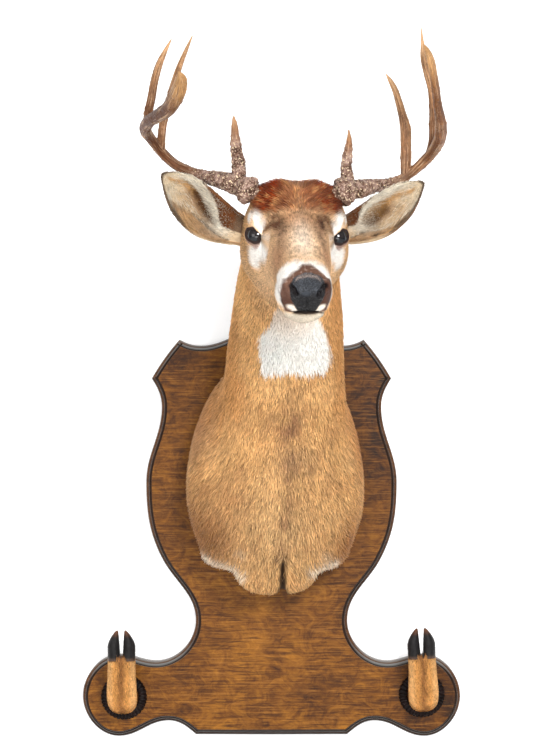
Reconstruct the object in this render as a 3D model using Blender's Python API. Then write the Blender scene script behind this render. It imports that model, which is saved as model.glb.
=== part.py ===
"""Whitetail buck shoulder mount on a shield plaque with two deer-foot hooks.

Metres, +Z up.  X runs across the plaque, -Y points out of the wall, and the
origin is the middle of the plaque's back face, where it meets the wall.
Sizes below are in millimetres and are scaled by MM where points are made.
"""
import math

import bmesh
import bpy
import numpy as np
from mathutils import Matrix, Vector

MM = 0.001
GAP = 0.3                      # clearance between touching pieces

# ----------------------------------------------------------------- sizes ----
BOARD_T = 22.0                 # plaque thickness
BOARD_CHAMFER = 7.0            # width of the moulded edge
BOARD_EDGE = 13.0              # height of the plain edge below the moulding

EYE_MID = (35.2, -352.0, 435.0)    # midpoint between the eyeballs
HEAD_PITCH = math.radians(26.0)    # nose below the horizontal
HEAD_YAW = math.radians(3.4)       # nose toward +X
HEAD_ROLL = math.radians(1.1)      # +X side lower
EYE_R = 15.5
EYE_TURN = math.radians(44.0)      # how far the eyes face outward
EYE_OUT, EYE_FWD, EYE_UP = 55.0, -2.0, 0.0

FOOT_X = (-224.0, 228.0)       # hook centres
FOOT_Z = (-243.0, -239.5)
FOOT_LEAN = (0.0, math.radians(-3.0))
TRIM_R, TRIM_T = 35.0, 6.0


# ------------------------------------------------------------ small tools ---
def catmull(keys, pts, at):
    """Smooth curve through pts at parameters keys, read at the values at."""
    keys = np.asarray(keys, float)
    pts = np.asarray(pts, float)
    at = np.atleast_1d(np.asarray(at, float))
    one = pts.ndim == 1
    if one:
        pts = pts[:, None]
    n = len(keys)
    d = np.diff(keys)
    slope = np.diff(pts, axis=0) / d[:, None]
    tan = np.zeros_like(pts)
    tan[1:-1] = (slope[:-1] * d[1:, None] + slope[1:] * d[:-1, None]) \
        / (d[:-1] + d[1:])[:, None]
    tan[0], tan[-1] = slope[0], slope[-1]
    i = np.clip(np.searchsorted(keys, at, side="right") - 1, 0, n - 2)
    h = d[i][:, None]
    t = ((at - keys[i]) / d[i])[:, None]
    t2, t3 = t * t, t * t * t
    out = ((2 * t3 - 3 * t2 + 1) * pts[i] + (t3 - 2 * t2 + t) * h * tan[i]
           + (3 * t2 - 2 * t3) * pts[i + 1] + (t3 - t2) * h * tan[i + 1])
    return out[:, 0] if one else out


def head_axes():
    """Forward, lateral (+X side) and up axes of the head."""
    m = (Matrix.Rotation(-HEAD_YAW, 3, 'Z').inverted()
         @ Matrix.Rotation(HEAD_PITCH, 3, 'X')
         @ Matrix.Rotation(HEAD_ROLL, 3, 'Y'))
    f = np.array(m @ Vector((0, -1, 0)))
    side = np.array(m @ Vector((1, 0, 0)))
    up = np.array(m @ Vector((0, 0, 1)))
    return f, side, up


HF, HL, HU = head_axes()
H0 = np.array(EYE_MID)


def head_point(a, lat, u):
    """World point from head coordinates: forward, lateral, up."""
    a, lat, u = (np.asarray(v, float)[..., None] for v in (a, lat, u))
    return H0 + a * HF + lat * HL + u * HU


def to_head(p):
    q = np.asarray(p, float) - H0
    return q @ HF, q @ HL, q @ HU


# ------------------------------------------------- body: head, neck, trunk --
# Head sections: forward position of the dorsal and ventral point, their
# heights, half-width, height of the widest level, fullness above and below.
HEAD_STATIONS = (
    # aT    aB    uT     uB     W     uM    nU   nL
    (193.0, 190.0, 3.0, -6.0, 6.0, -1.0, 2.0, 2.0),       # nose tip
    (190.0, 187.0, 12.0, -20.0, 18.5, -2.0, 2.2, 2.2),
    (184.0, 182.0, 18.5, -37.0, 26.5, -4.0, 2.3, 2.2),    # nose pad
    (174.0, 173.0, 23.5, -51.0, 32.5, -8.0, 2.3, 2.1),    # chin
    (158.0, 158.0, 28.5, -54.0, 37.0, -13.0, 2.2, 2.1),   # upper lip
    (135.0, 136.0, 33.0, -55.5, 38.0, -14.0, 2.2, 2.1),
    (108.0, 112.0, 36.5, -58.5, 38.5, -14.0, 2.2, 2.1),   # bridge
    (80.0, 86.0, 40.0, -62.0, 42.0, -14.0, 2.3, 2.1),
    (52.0, 58.0, 44.5, -67.5, 45.0, -17.0, 2.3, 2.1),     # before the eye
    (26.0, 32.0, 49.5, -72.5, 53.0, -19.0, 2.3, 2.1),
    (2.0, 14.0, 54.0, -78.0, 67.0, -17.0, 2.5, 2.1),      # orbits
    (-24.0, 4.0, 58.0, -84.5, 72.0, -12.0, 2.6, 2.1),
    (-48.0, -2.0, 60.5, -93.0, 74.5, -16.0, 2.5, 2.1),    # pedicles
    (-72.0, -7.0, 57.0, -103.0, 75.5, -22.0, 2.3, 2.0),   # ear roots
    (-94.0, -11.0, 46.0, -114.0, 72.5, -30.0, 2.1, 2.0),
    (-112.0, -15.0, 27.0, -126.0, 70.0, -41.0, 2.0, 2.0),  # occiput
)
# Neck and trunk sections: dorsal (out, up), ventral (out, up), half-width,
# widest level from the ventral side, fullness, middle line.
NECK_STATIONS = (
    (243.0, 492.0, 284.0, 302.0, 71.0, 0.50, 2.0, 2.0, 26.5),
    (221.0, 473.0, 276.0, 281.0, 74.5, 0.50, 2.0, 2.0, 25.0),
    (194.0, 446.0, 268.0, 256.0, 79.0, 0.50, 2.0, 2.0, 23.5),
    (165.0, 412.0, 262.0, 227.0, 83.5, 0.50, 2.0, 2.0, 22.5),
    (136.0, 376.0, 257.0, 192.0, 87.0, 0.49, 2.0, 2.0, 20.5),
    (108.0, 343.0, 253.0, 150.0, 90.0, 0.48, 2.0, 2.0, 19.0),
    (83.0, 318.0, 248.0, 104.0, 94.5, 0.47, 2.0, 2.1, 17.5),
    (63.0, 300.0, 238.0, 58.0, 104.0, 0.46, 2.0, 2.2, 13.0),
    (48.0, 290.0, 221.0, 14.0, 118.0, 0.45, 2.0, 2.2, 9.0),
    (38.0, 283.0, 194.0, -32.0, 129.0, 0.44, 2.0, 2.1, 6.5),
    (31.0, 279.0, 152.0, -70.0, 134.5, 0.43, 2.0, 2.0, 5.5),
    (26.0, 277.0, 97.0, -84.0, 135.5, 0.43, 2.0, 2.0, 5.5),
    (22.0, 275.0, 22.0, -80.0, 131.0, 0.43, 2.0, 2.0, 5.0),
)
# Soft swellings and hollows of the head: place (forward, lateral, up), reach
# along each axis, height.  Each is mirrored to the other side.
HEAD_SWELLS = (
    ((6.0, 60.0, 27.0), (26.0, 20.0, 13.0), 5.5),       # brow
    ((6.0, 74.0, 0.0), (17.0, 18.0, 12.0), -4.0),       # eye hollow
    ((30.0, 50.0, 2.0), (20.0, 16.0, 15.0), -6.0),      # tear pit
    ((-30.0, 62.0, -52.0), (32.0, 30.0, 30.0), 5.0),    # jaw muscle
    ((172.0, 27.0, 2.0), (13.0, 12.0, 14.0), 3.0),      # nostril wing
    ((148.0, 36.0, -20.0), (18.0, 16.0, 16.0), 1.5),    # upper lip
    ((-50.0, 55.0, 52.0), (20.0, 15.0, 16.0), 9.0),     # pedicle
    ((-56.0, 30.0, 60.0), (24.0, 15.0, 18.0), 5.0),     # crown hair
    ((120.0, 30.0, -35.0), (26.0, 16.0, 16.0), -3.0),   # below the lip
)
# The same for the trunk: place (across from the middle line, out, up).
TRUNK_SWELLS = (
    ((-92.0, 70.0, -20.0), (24.0, 50.0, 22.0), 8.0),    # front-leg stump
    ((92.0, 70.0, -20.0), (24.0, 50.0, 22.0), 8.0),
    ((8.0, 150.0, -62.0), (10.0, 60.0, 45.0), -9.0),    # brisket cleft
    ((-34.0, 150.0, -62.0), (26.0, 60.0, 40.0), 5.0),
    ((50.0, 150.0, -62.0), (26.0, 60.0, 40.0), 5.0),
    ((-72.0, 100.0, -58.0), (20.0, 90.0, 20.0), -12.0),  # stump folds
    ((74.0, 100.0, -58.0), (20.0, 90.0, 20.0), -12.0),
)


def sections():
    """Dorsal point, ventral point, side axis and shape of every section."""
    top, low, shape = [], [], []
    for aT, aB, uT, uB, w, um, nu, nl in HEAD_STATIONS:
        top.append(head_point(aT, 0, uT))
        low.append(head_point(aB, 0, uB))
        shape.append((w, (um - uB) / (uT - uB), nu, nl))
    for dT, zT, dB, zB, w, m, nu, nl, cx in NECK_STATIONS:
        top.append((cx, -dT, zT))
        low.append((cx, -dB, zB))
        shape.append((w, m, nu, nl))
    top, low, shape = map(np.array, (top, low, shape))
    # the side axis turns slowly from the head's to the plaque's
    turn = np.clip((np.arange(len(top)) - 9) / 11.0, 0, 1)[:, None]
    turn = turn * turn * (3 - 2 * turn)
    side = HL * (1 - turn) + np.array((1.0, 0.0, 0.0)) * turn
    mid = (top + low) / 2
    step = (np.linalg.norm(np.diff(top, axis=0), axis=1)
            + np.linalg.norm(np.diff(low, axis=0), axis=1)
            + 2 * np.linalg.norm(np.diff(mid, axis=0), axis=1)) / 4
    keys = np.concatenate([[0], np.cumsum(step)])
    return keys, top, low, side, shape


KEYS, TOP, LOW, SIDE, SHAPE = sections()
S_END = KEYS[-1]
S_HEAD = KEYS[len(HEAD_STATIONS) - 1] + 6.0       # head ends behind the ears
S_NECK = KEYS[len(HEAD_STATIONS) + 4]             # neck ends at the shoulder


def swell(p, normal):
    """Move surface points out or in by the soft swellings."""
    a, lat, u = to_head(p)
    push = np.zeros(p.shape[:-1])
    for (ca, cl, cu), (ra, rl, ru), high in HEAD_SWELLS:
        g = (((a - ca) / ra) ** 2 + ((abs(lat) - cl) / rl) ** 2
             + ((u - cu) / ru) ** 2)
        push += high * np.exp(-g)
    x, d, z = p[..., 0] - 5.0, -p[..., 1], p[..., 2]
    for (cx, cd, cz), (rx, rd, rz), high in TRUNK_SWELLS:
        g = ((x - cx) / rx) ** 2 + ((d - cd) / rd) ** 2 + ((z - cz) / rz) ** 2
        push += high * np.exp(-g)
    # the outline against the plaque stays flat on it
    return p + normal * push[..., None]


def body_surface(s, theta, grow=0.0):
    """Points of the body for section positions s and angles theta.

    theta 0 is the dorsal line, a half turn the ventral line, and a quarter
    turn the +X side.
    """
    s = np.asarray(s, float)
    theta = np.asarray(theta, float)

    def bare(sv, th):
        t = catmull(KEYS, TOP, sv)[:, None, :]
        b = catmull(KEYS, LOW, sv)[:, None, :]
        e = catmull(KEYS, SIDE, sv)[:, None, :]
        e = e / np.linalg.norm(e, axis=-1, keepdims=True)
        w, m, nu, nl = (catmull(KEYS, SHAPE, sv)[:, k][:, None]
                        for k in range(4))
        c, q = np.cos(th)[None, :], np.sin(th)[None, :]
        n = np.where(c > 0, nu, nl)
        mid = b + (t - b) * m[..., None]
        lift = np.abs(c) ** (2 / n)
        lat = w * np.sign(q) * np.abs(q) ** (2 / n)
        far = np.where(c[..., None] > 0, t - mid, b - mid)
        return mid + far * lift[..., None] + e * lat[..., None]

    p = bare(s, theta)
    ds, dt = 0.5, 0.01
    sa, sb = np.clip(s - ds, 0, S_END), np.clip(s + ds, 0, S_END)
    pu = bare(sb, theta) - bare(sa, theta)
    pv = bare(s, theta + dt) - bare(s, theta - dt)
    nrm = np.cross(pv, pu)
    nrm /= np.maximum(np.linalg.norm(nrm, axis=-1, keepdims=True), 1e-9)
    p = swell(p, nrm)
    if grow:
        p = p + nrm * grow
    return p


# --------------------------------------------------------------- materials --
def material(name, colour, rough, metallic=0.0):
    m = bpy.data.materials.new(name)
    m.use_nodes = True
    b = m.node_tree.nodes["Principled BSDF"]
    b.inputs["Base Color"].default_value = (*colour, 1.0)
    b.inputs["Roughness"].default_value = rough
    b.inputs["Metallic"].default_value = metallic
    return m


def collection(name):
    c = bpy.data.collections.new(name)
    bpy.context.scene.collection.children.link(c)
    return c


def start():
    for o in list(bpy.data.objects):
        bpy.data.objects.remove(o)


start()
PARTS = collection("deer_shoulder_mount")
CUTTERS = collection("cutters")


def add(name, mesh, mat, where=PARTS):
    o = bpy.data.objects.new(name, mesh)
    where.objects.link(o)
    if mat is not None:
        mesh.materials.clear()
        mesh.materials.append(mat)
    return o


def as_cutter(o):
    o.hide_render = True
    o.display_type = 'WIRE'
    return o


def loft(name, rings, mat, where=PARTS):
    """Closed body through rings of equal length (arrays of points in mm)."""
    bm = bmesh.new()
    vs = [[bm.verts.new(Vector(p) * MM) for p in ring] for ring in rings]
    n = len(rings[0])
    for r0, r1 in zip(vs[:-1], vs[1:]):
        for i in range(n):
            j = (i + 1) % n
            bm.faces.new((r0[i], r0[j], r1[j], r1[i]))
    bmesh.ops.remove_doubles(bm, verts=bm.verts, dist=1e-6)
    bmesh.ops.holes_fill(bm, edges=[e for e in bm.edges if e.is_boundary],
                         sides=0)
    bmesh.ops.triangulate(bm, faces=bm.faces, quad_method='FIXED',
                          ngon_method='EAR_CLIP')
    bmesh.ops.recalc_face_normals(bm, faces=bm.faces)
    me = bpy.data.meshes.new(name)
    bm.to_mesh(me)
    bm.free()
    me.shade_smooth()
    me.set_sharp_from_angle(angle=math.radians(50))
    return add(name, me, mat, where)


def baked(o):
    """Replace a curve or a modified object by its evaluated mesh."""
    dg = bpy.context.evaluated_depsgraph_get()
    me = bpy.data.meshes.new_from_object(o.evaluated_get(dg), depsgraph=dg)
    bm = bmesh.new()
    bm.from_mesh(me)
    bmesh.ops.remove_doubles(bm, verts=bm.verts, dist=2e-6)
    bmesh.ops.dissolve_degenerate(bm, edges=bm.edges, dist=2e-6)
    bmesh.ops.recalc_face_normals(bm, faces=bm.faces)
    bm.to_mesh(me)
    bm.free()
    name, mats, where = o.name, [m for m in o.data.materials], \
        o.users_collection[0]
    world = o.matrix_world.copy()
    bpy.data.objects.remove(o)
    n = bpy.data.objects.new(name, me)
    n.matrix_world = world
    where.objects.link(n)
    me.materials.clear()
    for m in mats:
        me.materials.append(m)
    return n


def cut(o, tool, how='DIFFERENCE', solver='EXACT'):
    m = o.modifiers.new("cut", 'BOOLEAN')
    m.operation = how
    m.solver = solver
    m.object = tool
    return o


# ----------------------------------------------------------------- plaque ---
# Right half of the outline, top to bottom: point (across, up), the heading
# in and the heading out (degrees, 0 = +X, 90 = up), and how round the run is.
OUTLINE = (
    ((0.0, 318.0), None, 0.0),             # crown, behind the neck
    ((64.0, 301.5), -22.0, -22.0),
    ((107.0, 290.5), 0.0, 0.0),            # dip of the top edge
    ((140.2, 299.6), 30.0, -49.0),         # top corner
    ((182.4, 240.4), -60.0, -122.0),       # shoulder
    ((167.2, 197.0), -90.0, -90.0),        # waist
    ((190.8, 82.5), -90.0, -90.0),         # belly
    ((165.5, -35.5), -118.0, -118.0),
    ((115.4, -128.0), -90.0, -90.0),       # narrow
    ((176.0, -190.0), 0.0, 0.0),           # notch
    ((229.0, -180.0), 2.0, 2.0),           # lobe top
    ((287.3, -243.0), -90.0, -90.0),       # lobe side
    ((229.0, -304.0), 176.0, 176.0),       # lobe foot
    ((157.0, -280.5), 180.0, 180.0),       # under scoop
    ((115.0, -301.5), -140.0, 180.0),      # foot corner
    ((0.0, -301.8), 180.0, None),
)


def outline_half(steps=6):
    pts = []
    for (p0, _, out), (p1, inn, _) in zip(OUTLINE[:-1], OUTLINE[1:]):
        p0, p1 = np.array(p0), np.array(p1)
        run = np.linalg.norm(p1 - p0)
        t0 = run * 1.12 * np.array((math.cos(math.radians(out)),
                                    math.sin(math.radians(out))))
        t1 = run * 1.12 * np.array((math.cos(math.radians(inn)),
                                    math.sin(math.radians(inn))))
        turn = abs((inn - out + 180) % 360 - 180)
        k = max(2, int(round(steps * min(1.0, run / 90.0 + turn / 120.0))))
        for t in np.linspace(0, 1, k, endpoint=False):
            pts.append((2 * t**3 - 3 * t**2 + 1) * p0
                       + (t**3 - 2 * t**2 + t) * t0
                       + (3 * t**2 - 2 * t**3) * p1 + (t**3 - t**2) * t1)
    pts.append(np.array(OUTLINE[-1][0]))
    return np.array(pts)


def plaque(mat):
    half = outline_half()
    left = half[1:-1][::-1] * (-1, 1)
    loop = np.concatenate([half, left])
    cu = bpy.data.curves.new("plaque", 'CURVE')
    cu.dimensions = '2D'
    cu.fill_mode = 'BOTH'
    cu.extrude = BOARD_T / 2 * MM
    sp = cu.splines.new('POLY')
    sp.points.add(len(loop) - 1)
    for q, (x, z) in zip(sp.points, loop):
        q.co = (x * MM, z * MM, 0, 1)
    sp.use_cyclic_u = True
    cu.materials.append(mat)
    o = bpy.data.objects.new("plaque", cu)
    PARTS.objects.link(o)
    o.matrix_world = (Matrix.Translation((0, -BOARD_T / 2 * MM, 0))
                      @ Matrix.Rotation(math.pi / 2, 4, 'X'))
    bpy.context.view_layer.update()
    o = baked(o)
    # the moulded front edge
    bm = bmesh.new()
    bm.from_mesh(o.data)
    bmesh.ops.transform(bm, matrix=o.matrix_world, verts=bm.verts)
    o.matrix_world = Matrix.Identity(4)
    front = -BOARD_T * MM
    bmesh.ops.dissolve_limit(bm, angle_limit=0.001, verts=bm.verts,
                             edges=bm.edges)
    faces = [f for f in bm.faces
             if all(abs(v.co.y - front) < 1e-6 for v in f.verts)]
    bmesh.ops.inset_region(bm, faces=faces, thickness=BOARD_CHAMFER * MM,
                           use_even_offset=True)
    rim = {v for f in bm.faces for v in f.verts
           if abs(v.co.y - front) < 1e-6}
    inner = {v for f in faces if f.is_valid for v in f.verts}
    for v in rim - inner:
        v.co.y = -BOARD_EDGE * MM
    bmesh.ops.triangulate(bm, faces=bm.faces)
    bmesh.ops.recalc_face_normals(bm, faces=bm.faces)
    bm.to_mesh(o.data)
    bm.free()
    return o


# ------------------------------------------------------------------- head ---
def onward(ring, at, around):
    """Unit normal of a section, pointing along the body toward the plaque."""
    k = len(ring) // 4
    n = np.cross(ring[k] - ring[0], ring[2 * k] - ring[0])
    n /= np.linalg.norm(n)
    ahead = body_surface([at + 5], around)[0].mean(0) - ring.mean(0)
    return n if n @ ahead > 0 else -n


HEAD_AROUND = np.linspace(0, 2 * math.pi, 28, endpoint=False)
TRUNK_AROUND = np.linspace(0, 2 * math.pi, 32, endpoint=False)
HEAD_RUN = np.concatenate([[0.0], KEYS[1:4],
                           np.linspace(KEYS[4], S_HEAD, 19)])


def body(mats):
    """Head, neck and trunk, parted along their sections."""
    head = body_surface(HEAD_RUN, HEAD_AROUND)
    neck = body_surface(np.linspace(S_HEAD, S_NECK, 7), HEAD_AROUND)
    way = onward(head[-1], S_HEAD, HEAD_AROUND)
    head[-1] -= ((head[-1] - head[-1].mean(0)) @ way)[:, None] * way
    neck[0] = head[-1] + way * GAP
    trunk = body_surface(np.append(np.linspace(S_NECK, S_END - 6, 14), S_END),
                         TRUNK_AROUND)
    trunk[0] += onward(trunk[0], S_NECK, TRUNK_AROUND) * GAP
    trunk[-1, :, 1] = -(BOARD_T + GAP)
    trunk[1:-1, :, 1] = np.minimum(trunk[1:-1, :, 1], -(BOARD_T + GAP + 0.4))
    return (loft("head", head, mats["hair"]), loft("neck", neck, mats["hair"]),
            loft("trunk", trunk, mats["hair"]))


def head_tool(grow):
    """The head's outer form, grown a little, as a cutter."""
    run = np.append(HEAD_RUN, [S_HEAD + 30, S_HEAD + 60])
    rings = body_surface(run, HEAD_AROUND, grow)
    return as_cutter(loft("head_tool", rings, None, CUTTERS))


def ball(name, mat, radii, place, where=PARTS, fine=(14, 8)):
    me = bpy.data.meshes.new(name)
    bm = bmesh.new()
    bmesh.ops.create_uvsphere(bm, u_segments=fine[0], v_segments=fine[1],
                              radius=1.0)
    bmesh.ops.scale(bm, verts=bm.verts, vec=Vector(radii) * MM)
    bm.to_mesh(me)
    bm.free()
    me.shade_smooth()
    o = add(name, me, mat, where)
    o.matrix_world = place
    return o


def eyes(mat, head):
    for name, sgn in (("eye_r", -1), ("eye_l", 1)):
        c = head_point(EYE_FWD, sgn * EYE_OUT, EYE_UP)
        look = (HF * math.cos(EYE_TURN) + HL * sgn * math.sin(EYE_TURN))
        flat = np.cross(HU, look)
        turn = Matrix([flat, HU, look]).transposed().to_4x4()
        place = Matrix.Translation(Vector(c) * MM) @ turn
        ball(name, mat, (EYE_R,) * 3, place)
        cut(head, as_cutter(ball(name + "_socket", None,
                                 (EYE_R + GAP,) * 3, place, CUTTERS)))
        out = Matrix.Translation(Vector(c + (look + 0.45 * HF)
                                        * (EYE_R - 1.0)) * MM) @ turn
        cut(head, as_cutter(ball(name + "_opening", None,
                                 (14.5, 11.5, 10.0), out, CUTTERS)))


# ------------------------------------------------------------------- ears ---
# Along each ear: half-width, half-opening angle (degrees), wall, shift of the
# middle toward the upper rim, and depth of the hollow as a share of the
# radius (negative where the root is full).
EAR_PROFILE = (
    # t     half  angle  wall  shift  hollow
    (0.00, 23.0, 90.0, 4.0, -9.0, -0.80),
    (0.10, 26.0, 90.0, 4.5, -12.0, -0.72),
    (0.22, 30.0, 88.0, 5.0, -14.0, -0.20),
    (0.34, 33.0, 84.0, 5.0, -14.5, 0.50),
    (0.46, 34.5, 78.0, 4.6, -13.0, 0.80),
    (0.58, 33.5, 70.0, 4.2, -10.0, 0.88),
    (0.70, 30.0, 62.0, 3.8, -7.0, 0.90),
    (0.82, 22.5, 56.0, 3.4, -3.5, 0.90),
    (0.92, 13.0, 52.0, 3.0, -1.0, 0.88),
    (0.98, 6.0, 50.0, 2.4, 0.0, 0.80),
    (1.00, 2.6, 48.0, 1.6, 0.0, 0.60),
)
EAR_ROOT = {-1: (-44.0, -285.0, 456.0), 1: (105.0, -280.0, 452.0)}
EAR_TIP = {-1: (-152.0, -330.0, 523.0), 1: (211.5, -330.0, 511.0)}
EAR_OPEN = {-1: (0.25, -1.0, -0.12), 1: (-0.05, -1.0, 0.42)}
EAR_WIDE = {-1: 1.0, 1: 0.95}
EAR_BOW = 8.0                   # the ear bows backward


def ear_frame(sgn):
    root, tip = np.array(EAR_ROOT[sgn]), np.array(EAR_TIP[sgn])
    axis = tip - root
    length = np.linalg.norm(axis)
    axis = axis / length
    front = np.array(EAR_OPEN[sgn], float)
    front -= axis * (front @ axis)
    front /= np.linalg.norm(front)
    rim = np.cross(axis, front)
    if rim[2] < 0:
        rim = -rim
    return root, axis, length, front, rim


def ear_rings(sgn, t, around=8):
    root, axis, length, front, rim = ear_frame(sgn)
    prof = np.array(EAR_PROFILE)
    rings = []
    for tv in t:
        half, ang, wall, shift, hollow = (
            catmull(prof[:, 0], prof[:, k], tv)[0] for k in range(1, 6))
        half, shift = half * EAR_WIDE[sgn], shift * EAR_WIDE[sgn]
        phi = math.radians(ang)
        r = half / math.sin(phi)
        c = (root + axis * (length * tv) + rim * shift
             + front * (r * 0.6 - EAR_BOW * math.sin(math.pi * tv)))
        outer, inner = [], []
        for k in range(around + 1):
            al = phi * (2 * k / around - 1)
            outer.append(c + rim * (r * math.sin(al))
                         - front * (r * math.cos(al)))
            inner.append(c + rim * ((r - wall) * math.sin(al))
                         - front * (r * hollow * math.cos(al)))
        rings.append(np.array(outer + inner[::-1]))
    return rings


def ears(mat, tool):
    t = (0.0, 0.12, 0.22, 0.32, 0.42, 0.53, 0.64, 0.75, 0.85, 0.93, 0.98,
         1.0)
    for name, sgn in (("ear_r", -1), ("ear_l", 1)):
        o = loft(name, ear_rings(sgn, t), mat)
        cut(o, tool)


# ---------------------------------------------------------------- antlers ---
# Main run and tines of each antler: points (across, out of the wall as -Y,
# up) with the radius there.
ANTLERS = {
    "r": {
        "beam": ((-13, -350, 491, 14), (-23, -343, 495, 14.5),
                 (-28, -338, 498, 20.5), (-33, -333, 501, 20),
                 (-39, -327, 504, 15.3), (-55, -312, 512, 14.5),
                 (-72, -297, 518, 12.5), (-93, -280, 524, 10),
                 (-115, -267, 532, 8.8), (-136, -262, 543, 8.2),
                 (-154, -270, 559, 8), (-168, -295, 575, 8),
                 (-174, -335, 584, 8.8), (-165, -385, 591, 9.2),
                 (-150, -420, 595, 10), (-136, -450, 601, 10.8),
                 (-126, -478, 612, 11), (-119, -502, 624, 9.8),
                 (-117, -515, 632, 7), (-120, -525, 639, 1.6)),
        "brow": ((-44, -322, 513, 11.5), (-45, -322, 535, 10.2),
                 (-48, -324, 556, 8.8), (-50, -328, 573, 7.2),
                 (-51, -332, 590, 5.2), (-52, -335, 604, 1.3)),
        "tine2": ((-150, -275, 562, 7.6), (-154, -285, 582, 6.5),
                  (-151, -292, 602, 6.6), (-144, -300, 625, 6.4),
                  (-136, -307, 650, 5.8), (-128, -312, 674, 4.8),
                  (-118, -316, 698, 3.3), (-109, -318, 718, 1.2)),
        "tine3": ((-169, -370, 592, 7.6), (-167, -376, 605, 7.2),
                  (-163, -383, 623, 6.6), (-159, -388, 643, 6.2),
                  (-153, -392, 664, 5.6), (-145, -395, 682, 4),
                  (-135, -397, 701, 1.2)),
        "split": (9, 12),
    },
    "l": {
        "beam": ((81, -346, 490, 14), (91, -339, 494, 14.5),
                 (96, -334, 497, 20.5), (101, -329, 499, 20),
                 (107, -323, 501, 15.3), (124, -307, 505, 13.5),
                 (143, -289, 510, 10.2), (164, -272, 515, 8),
                 (183, -264, 522, 7.6), (200, -266, 533, 7.8),
                 (215, -279, 546, 8.4), (226, -305, 558, 9),
                 (232, -338, 570, 9.2), (232, -370, 583, 8.8),
                 (228, -400, 596, 7.6), (223, -426, 611, 6.2),
                 (219, -450, 627, 6.1), (214, -474, 644, 6.1),
                 (209, -495, 659, 5.6), (204, -506, 669, 4.2),
                 (198, -514, 677, 1.3)),
        "brow": ((104, -318, 511, 11), (104, -318, 530, 8.7),
                 (105, -321, 544, 7.9), (107, -324, 559, 6.3),
                 (108, -328, 572, 4.1), (107, -331, 585, 1.3)),
        "tine2": ((189, -264, 525, 8.6), (190, -266, 549, 8.5),
                  (190, -268, 570, 8.5), (189, -271, 595, 8.2),
                  (184, -273, 614, 6.6), (179, -276, 631, 5.7),
                  (174, -279, 646, 5), (167, -282, 659, 3.7),
                  (161, -284, 668, 1.3)),
        "tine3": ((222, -293, 553, 8), (226, -300, 574, 7.2),
                  (226, -306, 594, 7), (226, -312, 614, 7),
                  (224, -318, 638, 7), (217, -324, 663, 6.6),
                  (211, -330, 685, 5.4), (209, -334, 703, 3.2),
                  (207, -337, 725, 1.2)),
        "split": (9, 11),
    },
}


def run_through(keys, step, stops=()):
    """Points of a smooth run through keys, with its keys at stops kept."""
    k = np.array(keys, float)
    run = np.concatenate([[0], np.cumsum(
        np.linalg.norm(np.diff(k[:, :3], axis=0), axis=1))])
    marks = [0, *stops, len(k) - 1]
    at, index = [0.0], []
    for m0, m1 in zip(marks[:-1], marks[1:]):
        n = max(2, int(round((run[m1] - run[m0]) / step)))
        at += list(np.linspace(run[m0], run[m1], n + 1)[1:])
        index.append(len(at) - 1)
    return catmull(run, k, at), index[:-1]


def tube(name, pts, mat, where=PARTS, grow=0.0):
    """Tube of changing radius along points (x, y, z, radius)."""
    cu = bpy.data.curves.new(name, 'CURVE')
    cu.dimensions = '3D'
    cu.fill_mode = 'FULL'
    cu.twist_mode = 'Z_UP'
    cu.bevel_depth = 1.0 * MM
    cu.bevel_resolution = 2
    cu.use_fill_caps = True
    sp = cu.splines.new('POLY')
    sp.points.add(len(pts) - 1)
    for q, (x, y, z, r) in zip(sp.points, pts):
        q.co = (x * MM, y * MM, z * MM, 1)
        q.radius = max(r, 0.6) + grow
    o = bpy.data.objects.new(name, cu)
    where.objects.link(o)
    if mat is not None:
        cu.materials.append(mat)
    bpy.context.view_layer.update()
    o = baked(o)
    o.data.shade_smooth()
    return o


def parted(o, point, toward):
    """Cut a tube square across at a point and close it, keeping one side."""
    bm = bmesh.new()
    bm.from_mesh(o.data)
    n = Vector(toward).normalized()
    bmesh.ops.bisect_plane(
        bm, geom=bm.verts[:] + bm.edges[:] + bm.faces[:],
        plane_co=(Vector(point) - n * GAP / 2) * MM, plane_no=n,
        clear_outer=True, dist=1e-7)
    rim = [e for e in bm.edges if e.is_boundary]
    bmesh.ops.holes_fill(bm, edges=rim, sides=0)
    bmesh.ops.recalc_face_normals(bm, faces=bm.faces)
    bm.to_mesh(o.data)
    bm.free()
    return o


def rooted(tine, beam):
    """Start a tine on the nearest point of the beam's middle line."""
    k = np.array(beam, float)
    run = np.arange(len(k))
    line = catmull(run, k, np.linspace(2, run[-1], 400))
    t = np.array(tine, float)
    near = line[np.argmin(np.linalg.norm(line[:, :3] - t[0, :3], axis=1))]
    t[0, :3] = near[:3]
    t[0, 3] = min(t[0, 3], near[3] - 1.2)
    return t


def antlers(mats, tool):
    for side, spec in ANTLERS.items():
        beam, (i, j) = spec["beam"], spec["split"]
        pts, (i, j) = run_through(beam, 10.5, (i, j))
        mark = pts[:, :3]
        ti, tj = mark[i + 1] - mark[i - 1], mark[j + 1] - mark[j - 1]
        base = tube("antler_%s_base" % side, pts[:i + 2], mats["a0"])
        parted(base, mark[i], ti)
        cut(base, tool)
        mid = tube("antler_%s_beam" % side, pts[i - 1:j + 2], mats["a1"])
        parted(parted(mid, mark[i], -ti), mark[j], tj)
        end = tube("antler_%s_beam_end" % side, pts[j - 1:], mats["a2"])
        parted(end, mark[j], -tj)
        wide = as_cutter(tube("beam_tool_%s" % side, pts, None, CUTTERS,
                              grow=GAP))
        for key, label in (("brow", "brow_tine"), ("tine2", "second_tine"),
                           ("tine3", "third_tine")):
            o = tube("antler_%s_%s" % (side, label),
                     run_through(rooted(spec[key], beam), 16.0)[0],
                     mats["a1"])
            cut(o, wide)


# ------------------------------------------------------------------- feet ---
def foot_place(k):
    return (Matrix.Translation(Vector((FOOT_X[k], 0, FOOT_Z[k])) * MM)
            @ Matrix.Rotation(FOOT_LEAN[k], 4, 'Y'))


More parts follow.
